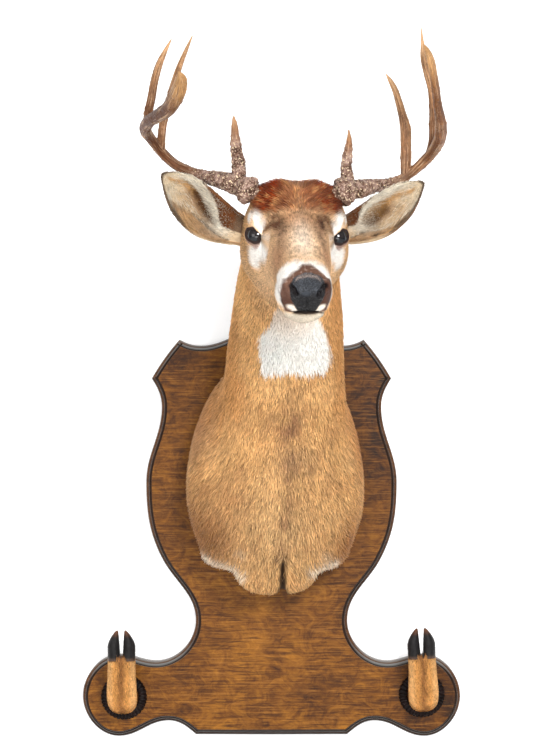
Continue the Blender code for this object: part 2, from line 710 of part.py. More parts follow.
# Hook: shank out of the rosette, then the pastern upright.  Points (out, up)
# of the middle line with half-width across and half-depth.
SHANK = ((28.5, -1.0, 20.0, 18.0), (44.0, -2.0, 21.0, 19.5),
         (57.0, -1.0, 22.3, 20.5), (66.0, 3.0, 22.8, 21.0),
         (73.0, 11.0, 22.9, 20.0))
PASTERN = ((73.0, 11.0, 22.9, 20.0), (76.5, 22.0, 22.6, 18.5),
           (78.0, 34.0, 22.0, 16.8), (78.5, 48.0, 21.4, 15.8),
           (78.0, 61.5, 21.2, 15.6))
HOOF_Z0, HOOF_H = 62.1, 46.0


def foot_rings(keys, n=14, steps=6, box=2.3, cut_at=None):
    k = np.array(keys, float)
    run = np.concatenate([[0], np.cumsum(
        np.hypot(*np.diff(k[:, :2], axis=0).T))])
    at = np.linspace(0, run[-1], steps)
    p = catmull(run, k, at)
    q = catmull(run, k, np.clip(at + 0.5, 0, run[-1])) \
        - catmull(run, k, np.clip(at - 0.5, 0, run[-1]))
    rings = []
    for (d, z, w, h), (dd, dz) in zip(p, q[:, :2]):
        t = np.array((dd, dz)) / math.hypot(dd, dz)
        nrm = np.array((t[1], -t[0]))        # toward the viewer and down
        ring = []
        for a in np.linspace(0, 2 * math.pi, n, endpoint=False):
            c, s = math.cos(a), math.sin(a)
            x = w * math.copysign(abs(c) ** (2 / box), c)
            y = h * math.copysign(abs(s) ** (2 / box), s)
            ring.append((x, -(d + nrm[0] * y), z + nrm[1] * y))
        rings.append(np.array(ring))
    return rings


def hoof(name, mat, side, place):
    """One claw of a cloven hoof, tip up."""
    rings = []
    for t in (0.0, 0.2, 0.45, 0.7, 0.9, 1.0):
        h = HOOF_H * t
        half = 10.1 * (1 - 0.04 * t - 0.80 * max(0.0, t - 0.42) ** 1.7 / 0.40)
        deep = 15.0 * (1 - 0.16 * t - 0.62 * max(0.0, t - 0.35) ** 1.5 / 0.52)
        half, deep = max(half, 1.6), max(deep, 2.4)
        cx = side * (10.1 + 0.35 + (half - 10.1) * 0.8 + 2.2 * t)
        cd = 78.0 + 3.0 * t + (15.0 - deep) * 0.55
        ring = []
        for a in np.linspace(0, 2 * math.pi, 10, endpoint=False):
            ring.append((cx + half * math.cos(a), -(cd + deep * math.sin(a)),
                         HOOF_Z0 + h))
        rings.append(np.array(ring))
    o = loft(name, rings, mat)
    o.matrix_world = place
    return o


def foot(k, side, mats):
    place = foot_place(k)
    # pleated leather rosette round the shank
    me = bpy.data.meshes.new("rosette")
    bm = bmesh.new()
    hole = 22.0
    prof = ((hole, 0.0), (TRIM_R, 0.0), (TRIM_R, 2.6), (TRIM_R - 5, TRIM_T),
            (hole, TRIM_T))
    vs = [bm.verts.new(Vector((r, 0, z)) * MM) for r, z in prof]
    for a, b in zip(vs, vs[1:] + vs[:1]):
        bm.edges.new((a, b))
    bmesh.ops.spin(bm, geom=bm.verts[:] + bm.edges[:], cent=(0, 0, 0),
                   axis=(0, 0, 1), angle=2 * math.pi, steps=20,
                   use_merge=True)
    bmesh.ops.remove_doubles(bm, verts=bm.verts, dist=1e-6)
    bmesh.ops.recalc_face_normals(bm, faces=bm.faces)
    bm.to_mesh(me)
    bm.free()
    o = add("rosette_%s" % side, me, mats["leather"])
    o.matrix_world = place @ Matrix.Translation(
        (0, -(BOARD_T + GAP) * MM, 0)) @ Matrix.Rotation(math.pi / 2, 4, 'X')
    shank = foot_rings(SHANK, steps=6)
    shank[0][:, 1] = -(BOARD_T + GAP)
    a = loft("foot_shank_%s" % side, shank, mats["hair"])
    a.matrix_world = place
    pastern = foot_rings(PASTERN, steps=6)
    rise = np.array((0, -(PASTERN[1][0] - PASTERN[0][0]),
                     PASTERN[1][1] - PASTERN[0][1]), float)
    e = shank[-1]
    nrm = np.cross(e[3] - e[0], e[7] - e[0])
    nrm /= np.linalg.norm(nrm)
    if nrm @ rise < 0:
        nrm = -nrm
    pastern[0] = e + nrm * GAP
    b = loft("foot_pastern_%s" % side, pastern, mats["hair"])
    b.matrix_world = place
    tools = []
    for label, keys in (("shank", SHANK), ("pastern", PASTERN)):
        more = np.array(keys) + (0, 0, GAP, GAP)
        more[-1, :2] += (more[-1, :2] - more[-2, :2]) * 0.12
        t = loft("%s_tool_%s" % (label, side), foot_rings(more, steps=6),
                 None, CUTTERS)
        t.matrix_world = place
        tools.append(as_cutter(t))
    for lab, sg in (("inner", 1 if k == 0 else -1),
                    ("outer", -1 if k == 0 else 1)):
        hoof("hoof_%s_%s" % (side, lab), mats["horn"], sg, place)
        c = bpy.data.meshes.new("dewclaw")
        bm = bmesh.new()
        bmesh.ops.create_cone(bm, cap_ends=True, segments=10,
                              radius1=5.5 * MM, radius2=2.2 * MM,
                              depth=15 * MM)
        bm.to_mesh(c)
        bm.free()
        c.shade_smooth()
        c.set_sharp_from_angle(angle=math.radians(50))
        w = add("dewclaw_%s_%s" % (side, lab), c, mats["horn"])
        w.matrix_world = place @ Matrix.Translation(
            Vector((sg * 10.5, -56.5, 33.5)) * MM) \
            @ Matrix.Rotation(math.radians(-sg * 10), 4, 'Y') \
            @ Matrix.Rotation(math.radians(-24), 4, 'X')
        for t in tools:
            cut(w, t)


# ------------------------------------------------------------------ build ---
HAIR = (0.42, 0.24, 0.11)
MATS = {
    "wood": material("stained_wood", (0.115, 0.045, 0.016), 0.35),
    "hair": material("tan_hair", HAIR, 0.85),
    "ear": material("ear_hair", (0.36, 0.27, 0.19), 0.85),
    "glass": material("dark_glass", (0.012, 0.010, 0.009), 0.06),
    "a0": material("antler_base", (0.24, 0.15, 0.09), 0.6),
    "a1": material("antler_beam", (0.30, 0.20, 0.11), 0.5),
    "a2": material("antler_end", (0.46, 0.33, 0.16), 0.4),
    "horn": material("hoof_horn", (0.03, 0.028, 0.028), 0.4),
    "leather": material("black_leather", (0.012, 0.011, 0.011), 0.45),
}

plaque(MATS["wood"])
HEAD, NECK, TRUNK = body(MATS)
TOOL = head_tool(GAP + 0.15)
eyes(MATS["glass"], HEAD)
ears(MATS["ear"], TOOL)
antlers(MATS, TOOL)
foot(0, "r", MATS)
foot(1, "l", MATS)
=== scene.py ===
"""Looks of the whitetail shoulder mount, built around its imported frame.

Everything is metres in the row's frame: X across the plaque, -Y out of the
wall, +Z up.  Shapes are worked out in millimetres and scaled by MM.
"""
import math

import bmesh
import bpy
import numpy as np
from mathutils import Matrix, Vector
from mathutils.bvhtree import BVHTree
from mathutils.geometry import tessellate_polygon


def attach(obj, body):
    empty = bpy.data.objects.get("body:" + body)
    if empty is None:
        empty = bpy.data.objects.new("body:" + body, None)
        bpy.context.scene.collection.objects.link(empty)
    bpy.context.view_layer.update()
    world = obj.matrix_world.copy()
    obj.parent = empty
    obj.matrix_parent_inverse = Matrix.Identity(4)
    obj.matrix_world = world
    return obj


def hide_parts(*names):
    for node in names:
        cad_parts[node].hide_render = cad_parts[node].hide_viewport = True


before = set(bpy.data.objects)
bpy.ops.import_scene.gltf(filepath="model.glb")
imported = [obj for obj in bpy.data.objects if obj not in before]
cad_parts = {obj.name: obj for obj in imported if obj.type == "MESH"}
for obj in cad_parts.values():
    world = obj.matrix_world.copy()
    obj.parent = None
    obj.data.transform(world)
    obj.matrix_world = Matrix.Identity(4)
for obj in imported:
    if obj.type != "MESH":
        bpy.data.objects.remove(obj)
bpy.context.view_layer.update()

MM = 0.001
RNG = np.random.default_rng(58117)

# ------------------------------------------------------- sizes of the solids
EYE_MID = (35.2, -352.0, 435.0)
HEAD_PITCH = math.radians(26.0)
HEAD_YAW = math.radians(3.4)
HEAD_ROLL = math.radians(1.1)
EYE_R = 15.5
EYE_OUT, EYE_FWD, EYE_UP = 55.0, -2.0, 0.0
FOOT_X = (-224.0, 228.0)
FOOT_Z = (-243.0, -239.5)
FOOT_LEAN = (0.0, math.radians(-3.0))
BOARD_T = 22.0
GAP = 0.3


def catmull(keys, pts, at):
    """Smooth curve through pts at parameters keys, read at the values at."""
    keys = np.asarray(keys, float)
    pts = np.asarray(pts, float)
    at = np.atleast_1d(np.asarray(at, float))
    one = pts.ndim == 1
    if one:
        pts = pts[:, None]
    n = len(keys)
    d = np.diff(keys)
    slope = np.diff(pts, axis=0) / d[:, None]
    tan = np.zeros_like(pts)
    tan[1:-1] = (slope[:-1] * d[1:, None] + slope[1:] * d[:-1, None]) \
        / (d[:-1] + d[1:])[:, None]
    tan[0], tan[-1] = slope[0], slope[-1]
    i = np.clip(np.searchsorted(keys, at, side="right") - 1, 0, n - 2)
    h = d[i][:, None]
    t = ((at - keys[i]) / d[i])[:, None]
    t2, t3 = t * t, t * t * t
    out = ((2 * t3 - 3 * t2 + 1) * pts[i] + (t3 - 2 * t2 + t) * h * tan[i]
           + (3 * t2 - 2 * t3) * pts[i + 1] + (t3 - t2) * h * tan[i + 1])
    return out[:, 0] if one else out


def unit(v):
    v = np.asarray(v, float)
    return v / np.maximum(np.linalg.norm(v, axis=-1, keepdims=True), 1e-9)


def head_axes():
    m = (Matrix.Rotation(-HEAD_YAW, 3, 'Z').inverted()
         @ Matrix.Rotation(HEAD_PITCH, 3, 'X')
         @ Matrix.Rotation(HEAD_ROLL, 3, 'Y'))
    return (np.array(m @ Vector((0, -1, 0))), np.array(m @ Vector((1, 0, 0))),
            np.array(m @ Vector((0, 0, 1))))


HF, HL, HU = head_axes()
H0 = np.array(EYE_MID)


def head_point(a, lat, u):
    a, lat, u = (np.asarray(v, float)[..., None] for v in (a, lat, u))
    return H0 + a * HF + lat * HL + u * HU


def to_head(p):
    q = np.asarray(p, float) - H0
    return q @ HF, q @ HL, q @ HU


HEAD_STATIONS = (
    (193.0, 190.0, 3.0, -6.0, 6.0, -1.0, 2.0, 2.0),
    (190.0, 187.0, 12.0, -20.0, 18.5, -2.0, 2.2, 2.2),
    (184.0, 182.0, 18.5, -37.0, 26.5, -4.0, 2.3, 2.2),
    (174.0, 173.0, 23.5, -51.0, 32.5, -8.0, 2.3, 2.1),
    (158.0, 158.0, 28.5, -54.0, 37.0, -13.0, 2.2, 2.1),
    (135.0, 136.0, 33.0, -55.5, 38.0, -14.0, 2.2, 2.1),
    (108.0, 112.0, 36.5, -58.5, 38.5, -14.0, 2.2, 2.1),
    (80.0, 86.0, 40.0, -62.0, 42.0, -14.0, 2.3, 2.1),
    (52.0, 58.0, 44.5, -67.5, 45.0, -17.0, 2.3, 2.1),
    (26.0, 32.0, 49.5, -72.5, 53.0, -19.0, 2.3, 2.1),
    (2.0, 14.0, 54.0, -78.0, 67.0, -17.0, 2.5, 2.1),
    (-24.0, 4.0, 58.0, -84.5, 72.0, -12.0, 2.6, 2.1),
    (-48.0, -2.0, 60.5, -93.0, 74.5, -16.0, 2.5, 2.1),
    (-72.0, -7.0, 57.0, -103.0, 75.5, -22.0, 2.3, 2.0),
    (-94.0, -11.0, 46.0, -114.0, 72.5, -30.0, 2.1, 2.0),
    (-112.0, -15.0, 27.0, -126.0, 70.0, -41.0, 2.0, 2.0),
)
NECK_STATIONS = (
    (243.0, 492.0, 284.0, 302.0, 71.0, 0.50, 2.0, 2.0, 26.5),
    (221.0, 473.0, 276.0, 281.0, 74.5, 0.50, 2.0, 2.0, 25.0),
    (194.0, 446.0, 268.0, 256.0, 79.0, 0.50, 2.0, 2.0, 23.5),
    (165.0, 412.0, 262.0, 227.0, 83.5, 0.50, 2.0, 2.0, 22.5),
    (136.0, 376.0, 257.0, 192.0, 87.0, 0.49, 2.0, 2.0, 20.5),
    (108.0, 343.0, 253.0, 150.0, 90.0, 0.48, 2.0, 2.0, 19.0),
    (83.0, 318.0, 248.0, 104.0, 94.5, 0.47, 2.0, 2.1, 17.5),
    (63.0, 300.0, 238.0, 58.0, 104.0, 0.46, 2.0, 2.2, 13.0),
    (48.0, 290.0, 221.0, 14.0, 118.0, 0.45, 2.0, 2.2, 9.0),
    (38.0, 283.0, 194.0, -32.0, 129.0, 0.44, 2.0, 2.1, 6.5),
    (31.0, 279.0, 152.0, -70.0, 134.5, 0.43, 2.0, 2.0, 5.5),
    (26.0, 277.0, 97.0, -84.0, 135.5, 0.43, 2.0, 2.0, 5.5),
    (22.0, 275.0, 22.0, -80.0, 131.0, 0.43, 2.0, 2.0, 5.0),
)
HEAD_SWELLS = (
    ((6.0, 60.0, 27.0), (26.0, 20.0, 13.0), 5.5),
    ((6.0, 74.0, 0.0), (17.0, 18.0, 12.0), -4.0),
    ((30.0, 50.0, 2.0), (20.0, 16.0, 15.0), -6.0),
    ((-30.0, 62.0, -52.0), (32.0, 30.0, 30.0), 5.0),
    ((172.0, 27.0, 2.0), (13.0, 12.0, 14.0), 3.0),
    ((148.0, 36.0, -20.0), (18.0, 16.0, 16.0), 1.5),
    ((-50.0, 55.0, 52.0), (20.0, 15.0, 16.0), 9.0),
    ((-56.0, 30.0, 60.0), (24.0, 15.0, 18.0), 5.0),
    ((120.0, 30.0, -35.0), (26.0, 16.0, 16.0), -3.0),
)
TRUNK_SWELLS = (
    ((-92.0, 70.0, -20.0), (24.0, 50.0, 22.0), 8.0),
    ((92.0, 70.0, -20.0), (24.0, 50.0, 22.0), 8.0),
    ((8.0, 150.0, -62.0), (10.0, 60.0, 45.0), -9.0),
    ((-34.0, 150.0, -62.0), (26.0, 60.0, 40.0), 5.0),
    ((50.0, 150.0, -62.0), (26.0, 60.0, 40.0), 5.0),
    ((-72.0, 100.0, -58.0), (20.0, 90.0, 20.0), -12.0),
    ((74.0, 100.0, -58.0), (20.0, 90.0, 20.0), -12.0),
)


def sections():
    top, low, shape = [], [], []
    for aT, aB, uT, uB, w, um, nu, nl in HEAD_STATIONS:
        top.append(head_point(aT, 0, uT))
        low.append(head_point(aB, 0, uB))
        shape.append((w, (um - uB) / (uT - uB), nu, nl))
    for dT, zT, dB, zB, w, m, nu, nl, cx in NECK_STATIONS:
        top.append((cx, -dT, zT))
        low.append((cx, -dB, zB))
        shape.append((w, m, nu, nl))
    top, low, shape = map(np.array, (top, low, shape))
    turn = np.clip((np.arange(len(top)) - 9) / 11.0, 0, 1)[:, None]
    turn = turn * turn * (3 - 2 * turn)
    side = HL * (1 - turn) + np.array((1.0, 0.0, 0.0)) * turn
    mid = (top + low) / 2
    step = (np.linalg.norm(np.diff(top, axis=0), axis=1)
            + np.linalg.norm(np.diff(low, axis=0), axis=1)
            + 2 * np.linalg.norm(np.diff(mid, axis=0), axis=1)) / 4
    keys = np.concatenate([[0], np.cumsum(step)])
    return keys, top, low, side, shape


KEYS, TOP, LOW, SIDE, SHAPE = sections()
S_END = KEYS[-1]
S_HEAD = KEYS[len(HEAD_STATIONS) - 1] + 6.0
S_NECK = KEYS[len(HEAD_STATIONS) + 4]


def bare(sv, th):
    t = catmull(KEYS, TOP, sv)[:, None, :]
    b = catmull(KEYS, LOW, sv)[:, None, :]
    e = catmull(KEYS, SIDE, sv)[:, None, :]
    e = e / np.linalg.norm(e, axis=-1, keepdims=True)
    w, m, nu, nl = (catmull(KEYS, SHAPE, sv)[:, k][:, None] for k in range(4))
    c, q = np.cos(th)[None, :], np.sin(th)[None, :]
    n = np.where(c > 0, nu, nl)
    mid = b + (t - b) * m[..., None]
    lift = np.abs(c) ** (2 / n)
    lat = w * np.sign(q) * np.abs(q) ** (2 / n)
    far = np.where(c[..., None] > 0, t - mid, b - mid)
    return mid + far * lift[..., None] + e * lat[..., None]


def body_surface(s, theta):
    """The body's outer form out to the hair tips, and its outward normals."""
    s = np.asarray(s, float)
    theta = np.asarray(theta, float)
    p = bare(s, theta)
    ds, dt = 0.5, 0.01
    sa, sb = np.clip(s - ds, 0, S_END), np.clip(s + ds, 0, S_END)
    pu = bare(sb, theta) - bare(sa, theta)
    pv = bare(s, theta + dt) - bare(s, theta - dt)
    nrm = unit(np.cross(pv, pu))
    a, lat, u = to_head(p)
    push = np.zeros(p.shape[:-1])
    for (ca, cl, cu), (ra, rl, ru), high in HEAD_SWELLS:
        push += high * np.exp(-(((a - ca) / ra) ** 2
                                + ((abs(lat) - cl) / rl) ** 2
                                + ((u - cu) / ru) ** 2))
    x, d, z = p[..., 0] - 5.0, -p[..., 1], p[..., 2]
    for (cx, cd, cz), (rx, rd, rz), high in TRUNK_SWELLS:
        push += high * np.exp(-(((x - cx) / rx) ** 2 + ((d - cd) / rd) ** 2
                                + ((z - cz) / rz) ** 2))
    return p + nrm * push[..., None], nrm


def grid_normals(p):
    """Unit normals of a grid of points closed round its second axis."""
    pv = np.roll(p, -1, axis=1) - np.roll(p, 1, axis=1)
    pu = np.empty_like(p)
    pu[1:-1] = p[2:] - p[:-2]
    pu[0], pu[-1] = p[1] - p[0], p[-1] - p[-2]
    return unit(np.cross(pv, pu)), unit(pu), unit(pv)


# ----------------------------------------------------------------- helpers --
def smooth(x, a, b):
    t = np.clip((x - a) / (b - a), 0.0, 1.0)
    return t * t * (3 - 2 * t)


def blob(a, l, u, c, r):
    return np.exp(-(((a - c[0]) / r[0]) ** 2 + ((l - c[1]) / r[1]) ** 2
                    + ((u - c[2]) / r[2]) ** 2))


def lattice(i, seed):
    """Repeatable random numbers in 0..1 for whole-number points."""
    i = i.astype(np.int64)
    n = (i[..., 0] * 73856093) ^ (i[..., 1] * 19349663) \
        ^ (i[..., 2] * 83492791) ^ (seed * 2654435761)
    n = (n ^ (n >> 13)) * 1274126177
    n = (n ^ (n >> 16)) & 0xFFFFFF
    return n / float(0xFFFFFF)


def noise(p, size, seed=0):
    """Smooth value noise, -1..1, with cells of the given size in mm."""
    q = np.asarray(p, float) / size
    i = np.floor(q)
    f = q - i
    f = f * f * (3 - 2 * f)
    out = np.zeros(q.shape[:-1])
    for dx in (0, 1):
        for dy in (0, 1):
            for dz in (0, 1):
                w = ((f[..., 0] if dx else 1 - f[..., 0])
                     * (f[..., 1] if dy else 1 - f[..., 1])
                     * (f[..., 2] if dz else 1 - f[..., 2]))
                out += w * lattice(i + (dx, dy, dz), seed)
    return out * 2 - 1


def fractal(p, size, seed=0, octaves=3):
    out, amp, tot = 0.0, 1.0, 0.0
    for k in range(octaves):
        out = out + amp * noise(p, size / 2 ** k, seed + 17 * k)
        tot += amp
        amp *= 0.5
    return out / tot


def line_distance(p, line):
    """Distance from points to a polyline, and how far along it (0..1)."""
    line = np.asarray(line, float)
    best = np.full(p.shape[:-1], 1e9)
    along = np.zeros(p.shape[:-1])
    run = np.concatenate([[0], np.cumsum(
        np.linalg.norm(np.diff(line, axis=0), axis=1))])
    for k in range(len(line) - 1):
        a, b = line[k], line[k + 1]
        t = np.clip(((p - a) @ (b - a)) / max((b - a) @ (b - a), 1e-9), 0, 1)
        d = np.linalg.norm(p - (a + t[..., None] * (b - a)), axis=-1)
        near = d < best
        best = np.where(near, d, best)
        along = np.where(near, (run[k] + t * (run[k + 1] - run[k])) / run[-1],
                         along)
    return best, along


def mix(c, other, w):
    return c + (np.asarray(other) - c) * w[..., None]


# --------------------------------------------------------------- mesh tools --
def mesh(name, co, faces, uv=None, uvname="OFBake", col=None, is_smooth=True,
         mat=None, lie=None):
    """Object from points in mm and an array (or list of arrays) of faces."""
    if isinstance(faces, np.ndarray):
        faces = [faces]
    idx = np.concatenate([f.ravel() for f in faces]).astype(np.int32)
    sizes = np.concatenate([np.full(len(f), f.shape[1]) for f in faces])
    starts = np.concatenate([[0], np.cumsum(sizes)[:-1]]).astype(np.int32)
    me = bpy.data.meshes.new(name)
    me.vertices.add(len(co))
    me.vertices.foreach_set("co", (np.asarray(co, np.float64) * MM)
                            .astype(np.float32).ravel())
    me.loops.add(len(idx))
    me.loops.foreach_set("vertex_index", idx)
    me.polygons.add(len(sizes))
    me.polygons.foreach_set("loop_start", starts)
    me.update(calc_edges=True)
    if uv is not None:                       # one pair for each vertex
        layer = me.uv_layers.new(name=uvname)
        layer.data.foreach_set("uv", np.asarray(uv, np.float32)[idx].ravel())
    if col is not None:
        at = me.color_attributes.new("Col", 'FLOAT_COLOR', 'POINT')
        rgba = np.ones((len(co), 4), np.float32)
        rgba[:, :np.shape(col)[1]] = np.clip(col, 0, 1)
        at.data.foreach_set("color", rgba.ravel())
        me.color_attributes.active_color = at
    if lie is not None:
        at = me.attributes.new("lie", 'FLOAT_VECTOR', 'POINT')
        at.data.foreach_set("vector", np.asarray(lie, np.float32).ravel())
    if is_smooth:
        me.polygons.foreach_set("use_smooth", np.ones(len(sizes), bool))
    if mat is not None:
        me.materials.append(mat)
    o = bpy.data.objects.new(name, me)
    bpy.context.scene.collection.objects.link(o)
    return o


def grid_faces(rows, cols, closed=True, flip=False):
    """Quads of a grid of rows x cols points."""
    n = cols if closed else cols - 1
    r, c = np.meshgrid(np.arange(rows - 1), np.arange(n), indexing="ij")
    c2 = (c + 1) % cols
    q = np.stack([r * cols + c, r * cols + c2, (r + 1) * cols + c2,
                  (r + 1) * cols + c], -1).reshape(-1, 4)
    return q[:, ::-1].copy() if flip else q


def cap_fan(first, cols, centre, flip=False):
    """Triangles from a ring to one centre point."""
    c = np.arange(cols)
    t = np.stack([first + c, first + (c + 1) % cols,
                  np.full(cols, centre)], -1)
    return t[:, ::-1].copy() if flip else t


# ---------------------------------------------------------------- materials --
class Mat:
    """A node material with short names for the nodes used here."""

    def __init__(self, name, **sockets):
        self.m = bpy.data.materials.new(name)
        self.m.use_nodes = True
        self.t = self.m.node_tree
        self.n = self.t.nodes
        self.b = self.n["Principled BSDF"]
        for k, v in sockets.items():
            self.b.inputs[k.replace("_", " ")].default_value = v

    def link(self, a, b):
        self.t.links.new(a, b)

    def node(self, kind, **props):
        x = self.n.new(kind)
        for k, v in props.items():
            setattr(x, k, v)
        return x

    def place(self, scale=(1, 1, 1), turn=(0, 0, 0), uv=None, which="Object"):
        if uv:
            src = self.node("ShaderNodeUVMap", uv_map=uv).outputs["UV"]
        else:
            src = self.node("ShaderNodeTexCoord").outputs[which]
        mp = self.node("ShaderNodeMapping")
        mp.inputs["Scale"].default_value = scale
        mp.inputs["Rotation"].default_value = turn
        self.link(src, mp.inputs["Vector"])
        return mp.outputs["Vector"]

    def noise(self, vec, scale, detail=4.0, rough=0.55, distort=0.0):
        x = self.node("ShaderNodeTexNoise")
        x.inputs["Scale"].default_value = scale
        x.inputs["Detail"].default_value = detail
        x.inputs["Roughness"].default_value = rough
        x.inputs["Distortion"].default_value = distort
        self.link(vec, x.inputs["Vector"])
        return x.outputs["Fac"]

    def voronoi(self, vec, scale, feature='F1'):
        x = self.node("ShaderNodeTexVoronoi", feature=feature)
        x.inputs["Scale"].default_value = scale
        self.link(vec, x.inputs["Vector"])
        return x.outputs["Distance"]

    def ramp(self, fac, *stops):
        x = self.node("ShaderNodeValToRGB")
        e = x.color_ramp.elements
        while len(e) < len(stops):
            e.new(0.5)
        for el, (pos, c) in zip(e, stops):
            el.position = pos
            el.color = (*c, 1.0) if len(c) == 3 else c
        self.link(fac, x.inputs["Fac"])
        return x.outputs["Color"]

    def range(self, fac, a, b, lo, hi):
        x = self.node("ShaderNodeMapRange")
        for k, v in (("From Min", a), ("From Max", b), ("To Min", lo),
                     ("To Max", hi)):
            x.inputs[k].default_value = v
        self.link(fac, x.inputs["Value"])
        return x.outputs["Result"]

    def math(self, op, a, b=None):
        x = self.node("ShaderNodeMath", operation=op)
        for k, v in ((0, a), (1, b)):
            if v is None:
                continue
            if isinstance(v, (int, float)):
                x.inputs[k].default_value = v
            else:
                self.link(v, x.inputs[k])
        return x.outputs[0]

    def blend(self, fac, a, b, how='MIX'):
        x = self.node("ShaderNodeMix", data_type='RGBA', blend_type=how)
        x.clamp_result = False
        for k, v in ((0, fac), (6, a), (7, b)):
            if isinstance(v, (int, float)):
                x.inputs[k].default_value = v
            elif isinstance(v, tuple):
                x.inputs[k].default_value = (*v, 1.0) if len(v) == 3 else v
            else:
                self.link(v, x.inputs[k])
        return x.outputs[2]

    def attribute(self, name="Col"):
        return self.node("ShaderNodeVertexColor", layer_name=name) \
            .outputs["Color"]

    def bump(self, height, strength, distance, under=None):
        x = self.node("ShaderNodeBump")
        x.inputs["Strength"].default_value = strength
        x.inputs["Distance"].default_value = distance
        self.link(height, x.inputs["Height"])
        if under is not None:
            self.link(under, x.inputs["Normal"])
        return x.outputs["Normal"]

    def set(self, socket, value):
        self.link(value, self.b.inputs[socket])
        return self


# ------------------------------------------------------------------ colours --
# Linear colours of the coat.
TAN = (0.770, 0.440, 0.178)
GOLD = (0.815, 0.495, 0.220)
BROWN = (0.265, 0.088, 0.022)
GREY_BROWN = (0.400, 0.205, 0.105)
DARK_BACK = (0.215, 0.115, 0.058)
RUST = (0.275, 0.034, 0.002)
GINGER = (0.370, 0.145, 0.060)
WHITE = (0.940, 0.905, 0.845)
CREAM = (0.740, 0.620, 0.460)
FACE_WHITE = (0.790, 0.755, 0.705)
PURPLE = (0.076, 0.034, 0.023)
RIM = (0.026, 0.016, 0.014)
BRIDGE = (0.850, 0.690, 0.540)
FORE = (0.470, 0.220, 0.085)
PAD = (0.012, 0.012, 0.013)
EYE_OPEN_AZ = math.radians(31.0)
EYE_TILT = 0.0
# The opening between the lids: bearing round its middle, and reach, degrees.
LIDS = ((-176.3, 45.0), (-152, 37.0), (-127.6, 30.0), (-99.5, 33.5),
        (-63.7, 37.0), (-36, 45.0), (-15, 55.0), (3, 40.0), (16.9, 31.5),
        (61.4, 25.5), (99.7, 27.5), (135, 39.0), (154, 60.0), (166, 54.0),
        (183.7, 45.0))


def eye_frame(sgn):
    """Eyeball centre, and the axes of its opening: out, toward nose, up."""
    c = head_point(EYE_FWD, sgn * EYE_OUT, EYE_UP)
    az = EYE_OPEN_AZ + sgn * HEAD_YAW
    out = np.array((sgn * math.sin(az), -math.cos(az), 0.0))
    med = np.array((-sgn * math.cos(az), -math.sin(az), 0.0))
    up = np.array((0.0, 0.0, 1.0))
    f = math.cos(EYE_TILT) * med - math.sin(EYE_TILT) * up
    v = math.sin(EYE_TILT) * med + math.cos(EYE_TILT) * up
    return c, out, f, v


def eye_fields(p, sgn):
    """How far points lie outside the lid opening (1 at its edge), their
    distance from the eyeball's centre, and their two angles."""
    c, out, f, v = eye_frame(sgn)
    w = p - c
    r = np.linalg.norm(w, axis=-1)
    w = w / np.maximum(r, 1e-6)[..., None]
    al = np.arctan2(w @ f, w @ out)
    be = np.arcsin(np.clip(w @ v, -1, 1))
    da = al - math.radians(10)
    turn = np.degrees(np.arctan2(be, da))
    turn = np.where(turn < LIDS[0][0], turn + 360, turn)
    reach = np.interp(turn, [k for k, _ in LIDS], [k for _, k in LIDS])
    far = np.degrees(np.hypot(da, be))
    q = np.where(far < reach, far / reach, 1 + (far - reach) / 38.0)
    return q, r, al, be


def pad_width(u):
    return np.interp(u, (-29, -26, -20, -12, -4, 3, 9, 14, 17.5, 20.5, 23, 24),
                     (9, 12.5, 16, 20.5, 22.5, 23.5, 23.0, 21.5, 18.5, 13, 5,
                      0))


def dark_width(u):
    return np.interp(u, (-30, -26, -20, -12, -5, 5, 12, 19, 25, 30),
                     (29, 31.5, 34, 36, 36.5, 35.0, 31.0, 22.5, 12, 2))


MOUTH = ((186, 0, -28.5), (183, 10, -29.5), (177, 19, -33), (168, 26, -37),
         (152, 32, -39), (134, 34.5, -41), (120, 35, -44))


NOSTRIL = ((188, 15.5, -1), (188, 18.5, 4), (184, 21.5, 7), (179, 24.5, 6.5))


def head_masks(p):
    """Soft masks of the head's markings at points in mm."""
    a, lat, u = to_head(p)
    lat = lat - 2.2 * smooth(a, 120, 160)
    l = np.abs(lat)
    m = {}
    q = np.full(a.shape, 9.0)
    for sgn in (-1, 1):
        qq, r = eye_fields(p, sgn)[:2]
        q = np.where(r < 24, np.minimum(q, qq), q)
    m["q"] = q
    m["pad"] = smooth(pad_width(u) - l, -1.2, 0.8) \
        * smooth(a + 0.25 * l, 174, 179) * smooth(u, -30.2, -28.6)
    rag = noise(p, 5.0, 3) * 2.5
    fray = noise(p, 2.2, 4) * 1.6
    peak = 3 + (a - 155) * 1.35 + 34 * (1 - smooth(u, 2, 17))
    m["dark"] = smooth(dark_width(u) - l + rag * 0.7, -2.6, 2.6) * smooth(
        a + rag * 0.5, 156, 164) * smooth(u + 0.14 * l, -29.5, -27.0) \
        * smooth(peak - l + fray, -2.5, 2.5)
    m["muzzle_white"] = smooth(a + rag + 2 * fray + 0.30 * l * (u > 0)
                               - 0.10 * np.abs(u + 5)
                               - 5 * (lat > 0) * smooth(-u, -4, 12),
                               143, 160) * smooth(u, -34, -20)
    m["chin"] = smooth(-(u + 36 + rag), -3, 3) * smooth(a, 70, 96) \
        * smooth(27 - l + fray, -3, 4)
    return a, lat, u, l, m


